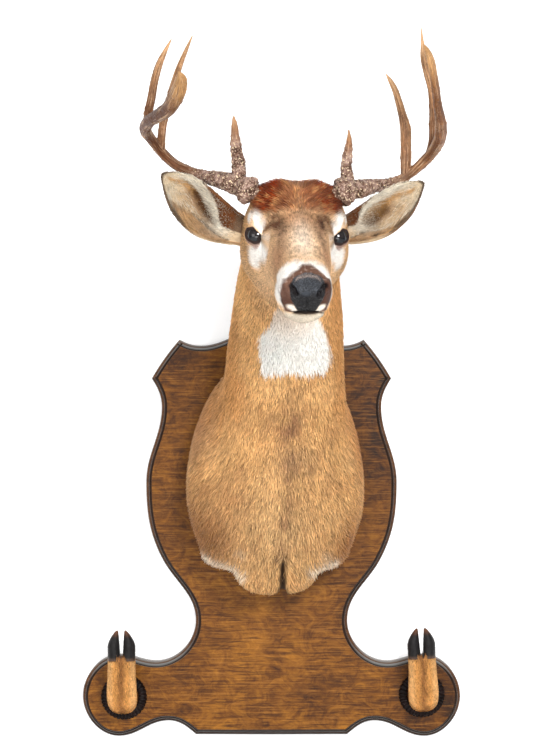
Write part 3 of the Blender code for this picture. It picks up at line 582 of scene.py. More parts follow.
def coat_colour(p, s, theta):
    """Linear colour of the coat at points (mm), with section and angle."""
    p = np.asarray(p, float)
    a, lat, u, l, m = head_masks(p)
    x, d, z = p[:, 0], -p[:, 1], p[:, 2]
    th = (theta + math.pi) % (2 * math.pi) - math.pi
    vent = smooth(np.abs(th), 1.7, 2.5)              # underside and chest
    back = 1 - smooth(np.abs(th), 0.5, 1.35)          # topline
    head = 1 - smooth(s, 236, 330)
    big = fractal(p, 46, 5)
    mid = fractal(p, 17, 6)
    fine = noise(p, 6, 7)
    # ---- neck and trunk
    c = np.tile(np.array(TAN), (len(p), 1))
    c = mix(c, GOLD, smooth(big, -0.1, 0.5) * 0.6)
    c = mix(c, (0.700, 0.450, 0.215), blob(x, d, z, (10, 190, 30),
                                           (70, 90, 70)) * 0.75)
    side = smooth(122 - d + 20 * big, 0, 82) * smooth(s, 360, 500)
    c = mix(c, BROWN, side * 0.9)
    # darker patch low on the trunk's left side: partly the coat's own brown,
    # partly painted shade
    c = mix(c, (0.235, 0.080, 0.023), blob(x, d, z, (-84, 165, 18),
                                           (40, 90, 62)) * 0.74)
    c = mix(c, (0.47, 0.25, 0.11), smooth(-big, 0.05, 0.5) * 0.45)
    c = mix(c, GREY_BROWN, blob(x, d, z, (-105, 110, 185), (40, 80, 60)) * 0.9)
    # darker patch low on the trunk's left side: partly the coat's own brown,
    # partly painted shade
    c = mix(c, (0.230, 0.072, 0.018),
            blob(x, d, z, (-117, 100, 22), (36, 75, 75)) * 0.72)
    c = mix(c, (0.40, 0.135, 0.034),
            blob(x, d, z, (120, 100, 150), (30, 60, 70)) * 0.78)
    c = mix(c, (0.30, 0.100, 0.022),
            blob(x, d, z, (112, 120, 0), (34, 70, 60)) * 0.78)
    c = mix(c, (0.400, 0.185, 0.070), smooth(mid, 0.10, 0.50) * 0.42)
    c = mix(c, DARK_BACK, back * smooth(s, 290, 360) * 0.8)
    edge = smooth(np.abs(x - 22 + 0.1 * (z - 250)), 52, 84) \
        * smooth(z, 140, 220) * (1 - back)
    c = mix(c, (0.540, 0.250, 0.080), edge * 0.7)
    # greyish line down the middle of the chest, and darker smudges
    xc = np.interp(z, (-80, -20, 60, 150, 240), (15, 14, 22, 27, 30)) \
        + 9 * big * smooth(z, -10, 40)
    line = np.exp(-((x - xc) / (9 + 5 * smooth(z, 0, 160))) ** 2) * vent \
        * smooth(z, -45, 10) * smooth(250 - z, 0, 60)
    c = mix(c, (0.320, 0.158, 0.078), line * np.clip(0.50 + 1.1 * mid, 0, 1))
    smudge = blob(x, d, z, (40, 262, 128), (40, 60, 24))
    c = mix(c, (0.46, 0.275, 0.140), smudge * 0.6)
    # throat patch
    xl = np.interp(z, (245, 300, 324, 345), (-17, -18, 0, 8))
    xr = np.interp(z, (245, 290, 330, 350), (86, 87, 70, 62))
    rag = noise(p * (1, 1, 0.45), 4.5, 11) * 3.2
    low = 249 + 3.0 * ((x - 34) / 50) ** 2 - 4.0 * blob(
        x, 0, 0, (-8, 0, 0), (14, 1, 1)) + 7 * smooth(np.abs(x - 34), 42, 52)
    throat = smooth(x - xl + rag, -3, 4) * smooth(xr - x + rag, -3, 4) \
        * smooth(z - low + rag, -3, 3) * smooth(np.abs(th), 1.75, 1.95) \
        * smooth(s, 255, 275)
    c = mix(c, WHITE, throat)
    # pale hair on the edges of the leg stumps, and painted shade in the cleft
    # between
    flat = np.stack([x, z], -1)
    for line_, up in ((((-104, -25), (-88, -32), (-68, -36), (-52, -43),
                        (-43, -52)), (-46, -12)),
                      (((60, -43), (76, -38), (98, -31)), (84, -18))):
        dist, _ = line_distance(flat, line_)
        w = np.exp(-(dist / 6.5) ** 2) * smooth(d, 40, 90)
        c = mix(c, (0.92, 0.80, 0.64), w * (0.80 + 0.25 * fine))
        w = np.exp(-(((x - up[0]) / 9) ** 2 + ((z - up[1]) / 7) ** 2))
        c = mix(c, CREAM, w * 0.35 * vent)
    # painted shade: near-black colour down the cleft between the leg stumps
    cleft = np.exp(-((x - 17.5) / (4.6 + 0.06 * np.clip(-z - 30, 0, 40)))
                   ** 4) \
        * smooth(-z, 22, 34) * smooth(d, 0, 20)
    c = mix(c, (0.006, 0.002, 0.001), cleft * 0.98)
    # painted shade: dark ring in the groove round the hair whorl on the chest,
    # with a paler middle
    knot = np.hypot(x - 14.5, (z + 20) * 1.15)
    c = mix(c, (0.085, 0.036, 0.016), np.exp(-((knot - 8.5) / 2.6) ** 2)
            * vent * 0.85)
    c = mix(c, (0.74, 0.47, 0.23), np.exp(-(knot / 5.0) ** 2) * vent * 0.8)
    # ---- head
    h = np.tile(np.array((0.690, 0.445, 0.245)), (len(p), 1))
    h = mix(h, (0.640, 0.375, 0.170), smooth(l, 48, 66) * 0.8)
    h = mix(h, (0.345, 0.162, 0.078),
            blob(a, l, u, (104, 30, 8), (44, 13, 24)) * 0.88)
    h = mix(h, FORE, blob(a, l, u, (44, 10, 45), (34, 30, 16)) * 0.9)
    bridge = blob(a, l, u, (96, 0, 38), (50, 17, 22))
    h = mix(h, BRIDGE, bridge * (0.95 + 0.1 * mid))
    h = mix(h, (0.47, 0.285, 0.165),
            blob(a, l, u, (62, 25, 34), (26, 9, 16)) * 0.7)
    h = mix(h, (0.090, 0.030, 0.014), np.clip(
        blob(a, l, u, (32, 35, 36), (16, 15, 11)) * (1.00 + 1.3 * fractal(
            p, 7.0, 21, 2))
        + 0.40 * blob(a, l, u, (54, 28, 35), (17, 9, 9))
        + 0.30 * blob(a, l, u, (78, 26, 28), (20, 8, 9)), 0, 0.92))
    speck = fractal(p, 5.0, 13, 2)
    up = smooth(u, 10, 30) * smooth(a, -10, 10) * smooth(150 - a, 0, 20)
    h = h * (1 - 0.50 * smooth(speck, 0.0, 0.40) * up
             * (1 - 0.55 * bridge))[:, None]
    # cap of hair between the antlers
    capw = smooth(24 - 0.30 * l - a + 4 * fine, -6, 8) \
        * smooth(u + 4 * fine, 30, 44) * smooth(a, -110, -86) \
        * smooth(74 - l, -4, 6)
    h = mix(h, GINGER, capw)
    rust = capw * np.clip(smooth(l, 10, 34) * (0.85 + 0.6 * mid)
                          + 0.35 * smooth(mid, 0.0, 0.5), 0, 1)
    h = mix(h, RUST, rust)
    h = mix(h, (0.60, 0.32, 0.14),
            capw * np.exp(-(lat / 5.0) ** 2) * 0.5 * (1 - rust))
    clump = fractal(p * (1.0, 0.5, 0.7), 7.0, 15, 2)
    h = mix(h, (0.66, 0.32, 0.12), capw * smooth(clump, 0.10, 0.42) * 0.7)
    h = mix(h, (0.15, 0.040, 0.016), capw * smooth(-clump, 0.06, 0.40)
            * smooth(l, -6, 16) * 0.8)
    # back of the skull
    h = mix(h, (0.30, 0.165, 0.080), back * smooth(-a, 70, 100) * 0.9)
    # white round the eye
    up_w = np.maximum(
        blob(a, l, u, (6, 57, 30), (16, 9, 8.5)),
        np.maximum(blob(a, l, u, (24, 50, 26), (11, 7.5, 9)),
                   blob(a, l, u, (-8, 64, 24), (11, 8, 8.5))))
    h = mix(h, FACE_WHITE, np.clip(up_w * 1.8 - 0.16, 0, 0.96))
    inner = blob(a, l, u, (37, 45.0, 13), (7, 4.5, 12))
    h = mix(h, FACE_WHITE, np.clip(inner * 1.5 - 0.1, 0, 0.92))
    lo_w = np.maximum(
        blob(a, l, u, (20, 58, -19), (17, 12, 13)),
        np.maximum(blob(a, l, u, (34, 49, -11), (16, 9.5, 12)),
                   blob(a, l, u, (19, 59, -31), (12, 10, 10))))
    h = mix(h, FACE_WHITE, np.clip(lo_w * 2.0 - 0.15, 0, 1))
    # cheeks' outer edge, jaw and chin
    h = mix(h, (0.56, 0.36, 0.19),
            blob(a, l, u, (0, 66, -60), (40, 18, 24)) * 0.6)
    h = mix(h, FACE_WHITE, m["muzzle_white"])
    h = mix(h, FACE_WHITE, m["chin"])
    h = mix(h, (0.53, 0.455, 0.355), smooth(-u, 30, 36) * smooth(a, 150, 166)
            * smooth(29 - l, -3, 3) * 0.95)
    h = mix(h, (0.70, 0.56, 0.40), smooth(-u, 66, 84) * smooth(38 - l, 0, 12)
            * smooth(a, 10, 50) * 0.7)
    h = mix(h, PURPLE * np.ones(3) * 1.0, np.clip(m["dark"] * 1.05, 0, 1))
    h = mix(h, (0.180, 0.098, 0.068), m["dark"] * smooth(mid, 0, 0.5) * 0.4)
    h = mix(h, (0.150, 0.076, 0.050), m["dark"] * smooth(u, 6, 20)
            * (0.60 + 0.5 * mid))
    h = mix(h, (0.42, 0.31, 0.25), m["dark"] * smooth(u, 4, 14)
            * smooth(noise(p, 2.6, 19), 0.25, 0.6) * 0.35)
    corner = blob(a, l, u, (182, 19.5, -23), (7, 6.5, 4.2)) \
        * (1 - m["pad"])
    corner = np.maximum(corner, blob(a, l, u, (184, 15.0, -26.5),
                                     (7, 5.5, 2.8)) * (1 - m["pad"]))
    h = mix(h, (0.74, 0.66, 0.56), np.clip(corner * 1.8 - 0.2, 0, 0.95))
    # dark line of the mouth and the near-black gap under the pad: the lips'
    # dark edge and painted shade in the gap
    dist, _ = line_distance(np.stack([a, l, u], -1), MOUTH)
    h = mix(h, (0.016, 0.009, 0.007), np.exp(-(dist / (
        2.3 + 1.7 * smooth(18 - l, 0, 8))) ** 2) * smooth(a, 120, 160))
    h = mix(h, (0.012, 0.007, 0.005), smooth(18 - l, -2, 3)
            * smooth(u, -35.0, -32.5) * smooth(-27 - u, 0, 1.5)
            * smooth(a, 150, 160))
    h = mix(h, PAD, m["pad"])
    # painted highlight: the upper part of the pad lightened to blue-grey
    h = mix(h, (0.040, 0.044, 0.052), m["pad"] * smooth(u, -8, 6)
            * smooth(20 - l, -4, 6))
    h = mix(h, (0.30, 0.23, 0.20), m["pad"] * np.exp(
        -((u - 0.92 * np.interp(l, (0, 12, 18, 22), (23.5, 21, 16, 8)))
          / 1.5) ** 2) * smooth(19 - l, 0, 5) * 0.8)
    # painted shade: the nostril openings coloured near-black
    dist, _ = line_distance(np.stack([a, l, u], -1), NOSTRIL)
    h = mix(h, (0.006, 0.003, 0.003), np.exp(-(dist / 4.2) ** 4))
    # lid rims and the purplish skin round them
    q = m["q"]
    below = 0.0
    for sgn in (-1, 1):
        qq, r, al, be = eye_fields(p, sgn)
        w = smooth(1.98 - qq, 0, 0.55) * smooth(0.15 - be, 0, 0.4) \
            * smooth(al + 1.0, 0, 0.5) * smooth(EYE_R + 12 - r, 0, 5)
        below = np.maximum(below, w * (r < 40))
        tear = np.exp(-((be + 0.22 + 0.45 * (al - 1.0)) / (
            0.26 - 0.14 * smooth(al, 0.9, 1.6))) ** 2) \
            * smooth(al, 0.85, 1.05) * smooth(2.0 - al, 0, 0.5) * (r < 40)
        h = mix(h, (0.130, 0.072, 0.056), tear * 0.95)
        # tan fold of the upper lid
        w = np.exp(-((qq - 1.50) / 0.16) ** 2) * smooth(be, 0.0, 0.4) \
            * (r < 30)
        h = mix(h, (0.50, 0.32, 0.17), w * 0.75)
    h = mix(h, (0.225, 0.135, 0.108), below * 0.9)
    h = mix(h, RIM, smooth(1.27 - q, 0, 0.09))
    c = mix(c, h, head)
    # ---- hair-by-hair unevenness
    white = smooth(c.min(1), 0.5, 0.7)
    broad = fractal(p * (1, 1, 0.8), 30, 17)
    c = c * (1 + (0.17 * mid + 0.16 * broad + 0.10 * fine)
             * (1 - 0.75 * white))[:, None]
    return np.clip(c, 0.004, 0.95)


# --------------------------------------------------------------- body skin --
def coat_depth(s):
    """How far the skin lies below the hair tips."""
    return np.interp(s, (0, 14, 30, 60, 120, 180, 215, 240, 290, 340, 443,
                         600, 729),
                     (0.1, 0.25, 0.9, 1.5, 1.7, 1.8, 2.4, 3.4, 4.6, 6.0, 7.5,
                      8.5, 7.5))


def rows_for(steps):
    out = [0.0]
    while out[-1] < S_END:
        st = np.interp(out[-1], [k for k, _ in steps], [v for _, v in steps])
        out.append(out[-1] + st)
    out = np.array(out) * S_END / out[-1]
    return out


SKIN_S = rows_for(((0, 0.7), (34, 1.0), (60, 1.7), (160, 1.7), (170, 0.8),
                   (208, 0.8), (220, 1.8), (300, 2.4), (380, 3.4),
                   (S_END, 4.2)))
_t = np.linspace(0, 2 * math.pi, 6001)
_off = np.abs((_t + math.pi) % (2 * math.pi) - math.pi)
_dens = 1 + 2.1 * np.exp(-((_off - 1.31) / 0.19) ** 2)
_cum = np.concatenate([[0], np.cumsum((_dens[1:] + _dens[:-1]) / 2)])
SKIN_TH = np.interp(np.linspace(0, _cum[-1], 331)[:-1], _cum, _t)


def shape_face(p, nrm):
    """Nostrils, lips, pad and small folds, as moves of skin points."""
    a, lat, u = to_head(p)
    lat = lat - 2.2 * smooth(a, 120, 160)
    l = np.abs(lat)
    q3 = np.stack([a, l, u], -1)
    push = np.zeros(a.shape)
    # nostril: a comma from the inner pit, curling out and back
    dist, al = line_distance(q3, NOSTRIL)
    push -= 8.0 * np.exp(-(dist / 3.8) ** 2) * (1 - 0.40 * al)
    push += 1.9 * np.exp(-((dist - 6.0) / 2.2) ** 2) * smooth(a, 168, 178)
    # slit behind the wing
    dist, _ = line_distance(q3, ((184, 22, -6), (176, 27.5, -9)))
    push -= 1.6 * np.exp(-(dist / 1.8) ** 2)
    # pad's raised rim and its groove
    pad = smooth(pad_width(u) - l, -0.5, 1.8) \
        * smooth(a + 0.25 * l, 174, 179) * smooth(u, -30.2, -28.6)
    push += 0.9 * pad
    push -= 1.3 * np.exp(-(l / 1.2) ** 2) * smooth(a, 178, 184) \
        * smooth(-u, 4, 12) * smooth(u, -27, -24)
    # mouth
    dist, along = line_distance(q3, MOUTH)
    push -= (4.2 - 1.8 * along) * np.exp(-(dist / (2.0 - 0.5 * along)) ** 2)
    push += 1.5 * np.exp(-((dist - 5.5) / 3.2) ** 2) * smooth(a, 118, 150)
    # bulge of the upper lip beside the pad, and the chin
    push += 1.4 * blob(a, l, u, (176, 22, -22), (8, 7, 6))
    push += 1.8 * blob(a, l, u, (170, 8, -42), (10, 14, 6))
    # ridge over the tear pit and veins of the face
    push -= 1.4 * blob(a, l, u, (42, 46, 2), (9, 7, 5))
    push += 0.9 * blob(a, l, u, (84, 30, -6), (40, 8, 5))
    push -= 0.8 * blob(a, l, u, (78, 34, -24), (40, 8, 8))
    return p + nrm * push[..., None]


def shape_eyes(p):
    """Lids round both eyeballs, by moving skin points along rays."""
    for sgn in (-1, 1):
        c, out, f, v = eye_frame(sgn)
        q, r, al, be = eye_fields(p, sgn)
        behind = smooth(-al, 0.5, 1.0) * smooth(2.9 - np.abs(be) * 2, 0, 1)
        near = (r < 48) & ((q < 3.2) | (behind > 0))
        lid = EYE_R + np.interp(
            q, (0, 0.86, 0.93, 1.0, 1.06, 1.14, 1.35, 1.7, 2.4, 3.2),
            (-3.2, -3.0, -1.6, 0.35, 1.3, 1.9, 2.3, 1.9, -3.0, -10.0))
        crease = np.exp(-((q - 1.50) / 0.07) ** 2) * smooth(be, 0.1, 0.5)
        fold = np.exp(-((q - 1.46) / 0.08) ** 2) * smooth(-be, 0.1, 0.5)
        lid = lid - 0.9 * crease - 0.5 * fold
        tear = np.exp(-((be + 0.22 + 0.45 * (al - 1.0)) / 0.10) ** 2) \
            * smooth(al, 0.95, 1.1) * smooth(1.75 - al, 0, 0.3)
        lid = lid - 1.2 * tear
        # behind the outer corner the hide closes over the ball
        lid = np.maximum(lid, (EYE_R + 1.3) * behind + 2.0 * (1 - behind))
        gap = (r - lid) / 1.6
        soft = lid + 1.6 * np.logaddexp(0, np.clip(gap, -30, 30))
        w = smooth(q, 1.16, 1.75)
        new = lid * (1 - w) + soft * w
        fade = smooth(q, 2.3, 3.1) * (1 - behind)
        new = new * (1 - fade) + r * fade
        new = np.where(near, new, r)
        p = c + (p - c) * (new / np.maximum(r, 1e-6))[..., None]
    return p


def build_skin():
    solid, nrm = body_surface(SKIN_S, SKIN_TH)
    solid = shape_face(solid, nrm)
    # the cleft between the leg stumps
    x, d, z = solid[..., 0], -solid[..., 1], solid[..., 2]
    cut = np.exp(-((x - 17.5) / 4.0) ** 2) * smooth(-z, 26, 44) \
        * smooth(d, 30, 60) * (1 - 0.75 * smooth(-z, 62, 74))
    knot = np.hypot(x - 14.5, (z + 20) * 1.15)
    cut = cut + 0.4 * np.exp(-((knot - 8.5) / 3.0) ** 2) * smooth(d, 120, 150)
    solid = solid - nrm * (7.0 * cut)[..., None]
    skin = solid - nrm * coat_depth(SKIN_S)[:, None, None]
    skin = shape_eyes(skin)
    # small unevenness of hide over the form
    skin = skin + nrm * (fractal(skin, 38, 21) * 0.5
                         * smooth(SKIN_S, 150, 330)[:, None])[..., None]
    skin[-1, :, 1] = -(BOARD_T + 0.05)
    skin[:-1, :, 1] = np.minimum(skin[:-1, :, 1], -(BOARD_T + 0.3))
    return solid, skin


SOLID, SKIN = build_skin()
SKIN_N, SKIN_U, SKIN_V = grid_normals(SKIN)
ROWS, COLS = SKIN.shape[:2]
S_GRID = np.repeat(SKIN_S[:, None], COLS, 1)
T_GRID = np.repeat(SKIN_TH[None], ROWS, 0)
SKIN_COL = coat_colour(SOLID.reshape(-1, 3), S_GRID.ravel(), T_GRID.ravel())
print("skin", ROWS, COLS, ROWS * COLS * 2)


def skin_object(mat):
    co = SKIN.reshape(-1, 3)
    nose, wall = SKIN[0].mean(0), SKIN[-1].mean(0)
    wall[1] = -(BOARD_T + 0.05)
    co = np.concatenate([co, [nose, wall]])
    col = np.concatenate([SKIN_COL, SKIN_COL[:1], SKIN_COL[-1:]])
    n = ROWS * COLS
    faces = [grid_faces(ROWS, COLS), cap_fan(0, COLS, n, flip=True),
             cap_fan(n - COLS, COLS, n + 1)]
    uv = np.stack([T_GRID.ravel() * 0.08, S_GRID.ravel() * 0.001], -1)
    uv = np.concatenate([uv, [uv[0], uv[-1]]])
    o = mesh("skin", co, faces, uv=uv, uvname="hair_lie", col=col, mat=mat)
    o.data.materials.append(M_PAD.m)
    m = head_masks(SOLID.reshape(-1, 3))[4]["pad"].reshape(ROWS, COLS)
    face = (m[:-1] + m[1:] + np.roll(m, -1, 1)[:-1]
            + np.roll(m, -1, 1)[1:]).ravel() / 4 > 0.6
    index = np.zeros(len(o.data.polygons), np.int32)
    index[:len(face)] = face
    o.data.polygons.foreach_set("material_index", index)
    return o


# --------------------------------------------------------------------- ears --
EAR_PROFILE = (
    (0.00, 23.0, 90.0, 4.0, -9.0, -0.80),
    (0.10, 26.0, 90.0, 4.5, -12.0, -0.72),
    (0.22, 30.0, 88.0, 5.0, -14.0, -0.20),
    (0.34, 33.0, 84.0, 5.0, -14.5, 0.50),
    (0.46, 34.5, 78.0, 4.6, -13.0, 0.80),
    (0.58, 33.5, 70.0, 4.2, -10.0, 0.88),
    (0.70, 30.0, 62.0, 3.8, -7.0, 0.90),
    (0.82, 22.5, 56.0, 3.4, -3.5, 0.90),
    (0.92, 13.0, 52.0, 3.0, -1.0, 0.88),
    (0.98, 6.0, 50.0, 2.4, 0.0, 0.80),
    (1.00, 2.6, 48.0, 1.6, 0.0, 0.60),
)
EAR_ROOT = {-1: (-44.0, -285.0, 456.0), 1: (105.0, -280.0, 452.0)}
EAR_TIP = {-1: (-152.0, -330.0, 523.0), 1: (211.5, -330.0, 511.0)}
EAR_OPEN = {-1: (0.25, -1.0, -0.12), 1: (-0.05, -1.0, 0.42)}
EAR_WIDE = {-1: 1.0, 1: 0.95}
EAR_BOW = 8.0
EAR_COAT = 1.1


def ear_frame(sgn):
    root, tip = np.array(EAR_ROOT[sgn]), np.array(EAR_TIP[sgn])
    axis = tip - root
    length = np.linalg.norm(axis)
    axis = axis / length
    front = np.array(EAR_OPEN[sgn], float)
    front -= axis * (front @ axis)
    front /= np.linalg.norm(front)
    rim = np.cross(axis, front)
    if rim[2] < 0:
        rim = -rim
    return root, axis, length, front, rim


def ear_grids(sgn, t, k):
    """Outer and inner surfaces of an ear: len(t) x len(k) points each.

    k runs -1..1 from the lower rim to the upper rim.
    """
    root, axis, length, front, rim = ear_frame(sgn)
    prof = np.array(EAR_PROFILE)
    half, ang, wall, shift, hollow = (
        catmull(prof[:, 0], prof[:, j], t)[:, None] for j in range(1, 6))
    half, shift = half * EAR_WIDE[sgn], shift * EAR_WIDE[sgn]
    half, shift = half - EAR_COAT, shift
    phi = np.radians(ang)
    r = half / np.sin(phi)
    tt = t[:, None, None]
    c = (root + axis * (length * tt) + rim * shift[..., None]
         + front * (r * 0.6 - EAR_BOW * np.sin(np.pi * t)[:, None])[..., None])
    al = phi * k[None, :]
    wall = np.maximum(wall - EAR_COAT, 0.9)
    deep = np.where(hollow > 0, hollow * 0.985, hollow)
    outer = c + rim * (r * np.sin(al))[..., None] \
        - front * (r * np.cos(al))[..., None]
    inner = c + rim * ((r - wall) * np.sin(al))[..., None] \
        - front * (r * deep * np.cos(al))[..., None]
    # the curled front edge, the deep pit beside it and the rolled lower edge
    kk = np.repeat(k[None], len(t), 0)
    tt2 = np.repeat(t[:, None], len(k), 1)
    m = ear_marks(sgn, tt2.ravel(), kk.ravel())
    lift = (5.0 * m["lip"] - 9.0 * m["pit"] - 3.0 * m["round"]
            - 2.5 * m["back"] + 2.2 * m["roll"] - 3.5 * m["slit"])
    away = np.sum((inner - outer) * front, -1).ravel()
    lift = np.maximum(lift, 1.6 - away) * (np.abs(kk.ravel()) < 0.985)
    inner = inner + front * lift.reshape(tt2.shape)[..., None]
    return outer, inner


# Where the curled front edge of each cup runs: its upper side as (t, k).
EAR_LIP = {-1: ((0.20, -0.10), (0.25, 0.12), (0.29, 0.34), (0.35, 0.58),
                (0.45, 0.82), (0.56, 0.96), (0.70, 1.05), (1.0, 1.05)),
           1: ((0.16, -0.10), (0.21, 0.18), (0.25, 0.50), (0.30, 0.78),
               (0.36, 0.95), (0.46, 1.05), (1.0, 1.05))}
EAR_PIT = {-1: ((72, 17.5), (63, 14), (55, 9.5), (45, 5.5), (36, 1.0)),
           1: ((58, 16), (48, 13), (40, 7), (34, 1))}
EAR_STREAK = {-1: ((112, 9), (98, 17), (84, 19), (72, 17)),
              1: ((106, 15), (90, 21), (74, 25), (58, 22), (48, 13))}
EAR_ROLL = {-1: ((92, -26), (76, -17), (60, -9), (46, -10), (34, -15),
                 (24, -20), (12, -24)),
            1: ((58, -26), (46, -18), (34, -17), (22, -20), (10, -26))}


def ear_marks(sgn, t, k):
    """Soft masks of the cup's parts: lip, back, pit, streak, rolled edge."""
    lip = np.array(EAR_LIP[sgn])
    e = np.interp(t, lip[:, 0], lip[:, 1]) - k
    wide = np.interp(t, (0.2, 0.3, 0.45, 0.7, 1.0),
                     (0.20, 0.27, 0.42, 0.34, 0.20))
    if sgn > 0:
        wide = wide * 0.8
    m = {"back": smooth(-e, 0.0, 0.07) * smooth(0.62 - t, 0, 0.05),
         "lip": smooth(e, -0.04, 0.05) * (1 - smooth(e, wide * 0.75, wide
                                                     * 1.15))
         * smooth(0.86 - t, 0, 0.18) * smooth(t, 0.18, 0.24)}
    flat = np.stack([t * 130, k * 40], -1)
    dist, _ = line_distance(flat, EAR_PIT[sgn])
    m["pit"] = np.exp(-(dist / 6.0) ** 2)
    m["round"] = np.exp(-(dist / 13.0) ** 2)
    dist, _ = line_distance(flat, EAR_STREAK[sgn])
    m["streak"] = np.exp(-(dist / 5.5) ** 2)
    dist, along = line_distance(flat, EAR_ROLL[sgn])
    m["slit"] = np.exp(-(dist / 1.9) ** 2) * smooth(along, 0.15, 0.75)
    roll = np.array(EAR_ROLL[sgn])[::-1]
    below = np.interp(t * 130, roll[:, 0], roll[:, 1]) - k * 40
    m["roll"] = smooth(below, 0, 4) * smooth(0.80 - t, 0, 0.16)
    return m


def ear_inner_colour(t, k, p, sgn):
    """Colour inside the cup; t 0..1 root to tip, k -1..1 lower to upper."""
    n = fractal(p, 9, 31)
    m = ear_marks(sgn, t + 0.015 * n, k + 0.05 * n)
    c = np.tile(np.array((0.70, 0.55, 0.38)), (len(t), 1))

    def spot(t0, k0, rt, rk):
        return np.exp(-((t - t0) / rt) ** 2 - ((k - k0) / rk) ** 2)
    c = mix(c, (0.80, 0.70, 0.54), smooth(t, 0.5, 0.8) * 0.7)
    c = mix(c, (0.62, 0.42, 0.24), spot(0.58, -0.05, 0.12, 0.35) * 0.6)
    # painted shade: darker brown round the deep pit
    c = mix(c, (0.30, 0.160, 0.075), m["round"] * 0.9)
    c = mix(c, (0.56, 0.32, 0.125), m["streak"] * 0.9)
    c = mix(c, (0.50, 0.295, 0.145), m["roll"] * 0.85)
    c = mix(c, (0.62, 0.36, 0.15), m["roll"] * np.exp(
        -((t - 0.47) / 0.10) ** 2) * 0.7)
    c = mix(c, (0.84, 0.79, 0.70), spot(0.20, -0.12, 0.09, 0.36) * 1.0)
    # painted shade: near-black in the deep pit
    c = mix(c, (0.085, 0.035, 0.012), m["pit"] * (0.95 if sgn < 0 else 0.7))
    c = mix(c, (0.88, 0.85, 0.77), m["lip"])
    c = mix(c, (0.170, 0.058, 0.018), m["back"])
    c = mix(c, (0.20, 0.13, 0.085), m["back"] * smooth(0.16 - t, 0, 0.10))
    # painted shade: dark in the slit behind the rolled edge
    c = mix(c, (0.045, 0.022, 0.012), m["slit"] * 0.9)
    if sgn > 0:
        c = mix(c, (0.030, 0.018, 0.012), np.clip(
            spot(0.30, -0.88, 0.035, 0.13) * 1.3, 0, 1))
    edge = smooth(k, 0.86, 0.97) * smooth(t, 0.5, 0.6)
    c = mix(c, (0.82, 0.76, 0.64), edge * smooth(0.93 - t, 0, 0.1))
    rim = np.maximum(smooth(-k, 0.84, 0.95) * smooth(t, 0.40, 0.58),
                     smooth(t + 0.03 * np.abs(k), 0.945, 0.985))
    c = mix(c, (0.130, 0.088, 0.058), rim * 0.95)
    return np.clip(c * (0.78, 0.74, 0.68) * (1 + 0.26 * n)[:, None],
                   0.004, 0.95)


def ear_outer_colour(t, k, p):
    c = np.tile(np.array((0.165, 0.080, 0.038)), (len(t), 1))
    n = fractal(p, 11, 33)
    c = mix(c, (0.150, 0.058, 0.022), np.exp(-((t - 0.16) / 0.22) ** 2)
            * smooth(k, -0.2, 0.5) * 0.95)
    c = mix(c, (0.125, 0.085, 0.060), smooth(t, 0.72, 0.95) * 0.8)
    c = mix(c, (0.66, 0.50, 0.32), smooth(-k, 0.55, 0.85)
            * smooth(0.55 - t, 0, 0.3) * 0.9)
    c = mix(c, (0.80, 0.72, 0.58), smooth(k, 0.90, 0.98)
            * smooth(t, 0.50, 0.6) * smooth(0.93 - t, 0, 0.1))
    return np.clip(c * (1 + 0.20 * n)[:, None], 0.004, 0.95)


EAR_T = np.concatenate([np.linspace(-0.10, 0.9, 60, endpoint=False),
                        1 - np.linspace(0.1, 0, 14) ** 1.0])
EAR_K = np.linspace(-1, 1, 41)


def ear_mesh(sgn, mat):
    t = np.clip(EAR_T, -0.1, 1.0)
    outer, inner = ear_grids(sgn, t, EAR_K)
    n = len(EAR_K)
    ring = np.concatenate([outer, inner[:, ::-1]], 1)
    rows, cols = ring.shape[:2]
    co = ring.reshape(-1, 3)
    tt = np.repeat(t[:, None], n, 1)
    kk = np.repeat(EAR_K[None], len(t), 0)
    co_col = np.concatenate([
        ear_outer_colour(tt.ravel(), kk.ravel(),
                         outer.reshape(-1, 3)).reshape(rows, n, 3),
        ear_inner_colour(tt.ravel(), kk.ravel(),
                         inner.reshape(-1, 3), sgn).reshape(rows, n, 3)
        [:, ::-1]], 1).reshape(-1, 3)
    # head coordinates of the points and their place along the ear (not used
    # below)
    a, lat, u = to_head(co)
    tall = np.concatenate([tt, tt], 1).ravel()
    c0, c1 = ring[0].mean(0), ring[-1].mean(0)
    co = np.concatenate([co, [c0, c1]])
    col = np.concatenate([co_col, co_col[:1], co_col[-1:]])
    faces = [grid_faces(rows, cols), cap_fan(0, cols, rows * cols, flip=True),
             cap_fan((rows - 1) * cols, cols, rows * cols + 1)]
    o = mesh("ear_skin_%s" % ("r" if sgn < 0 else "l"), co, faces, col=col,
             mat=mat)
    bm = bmesh.new()
    bm.from_mesh(o.data)
    bmesh.ops.recalc_face_normals(bm, faces=bm.faces)
    bm.to_mesh(o.data)
    bm.free()
    return o


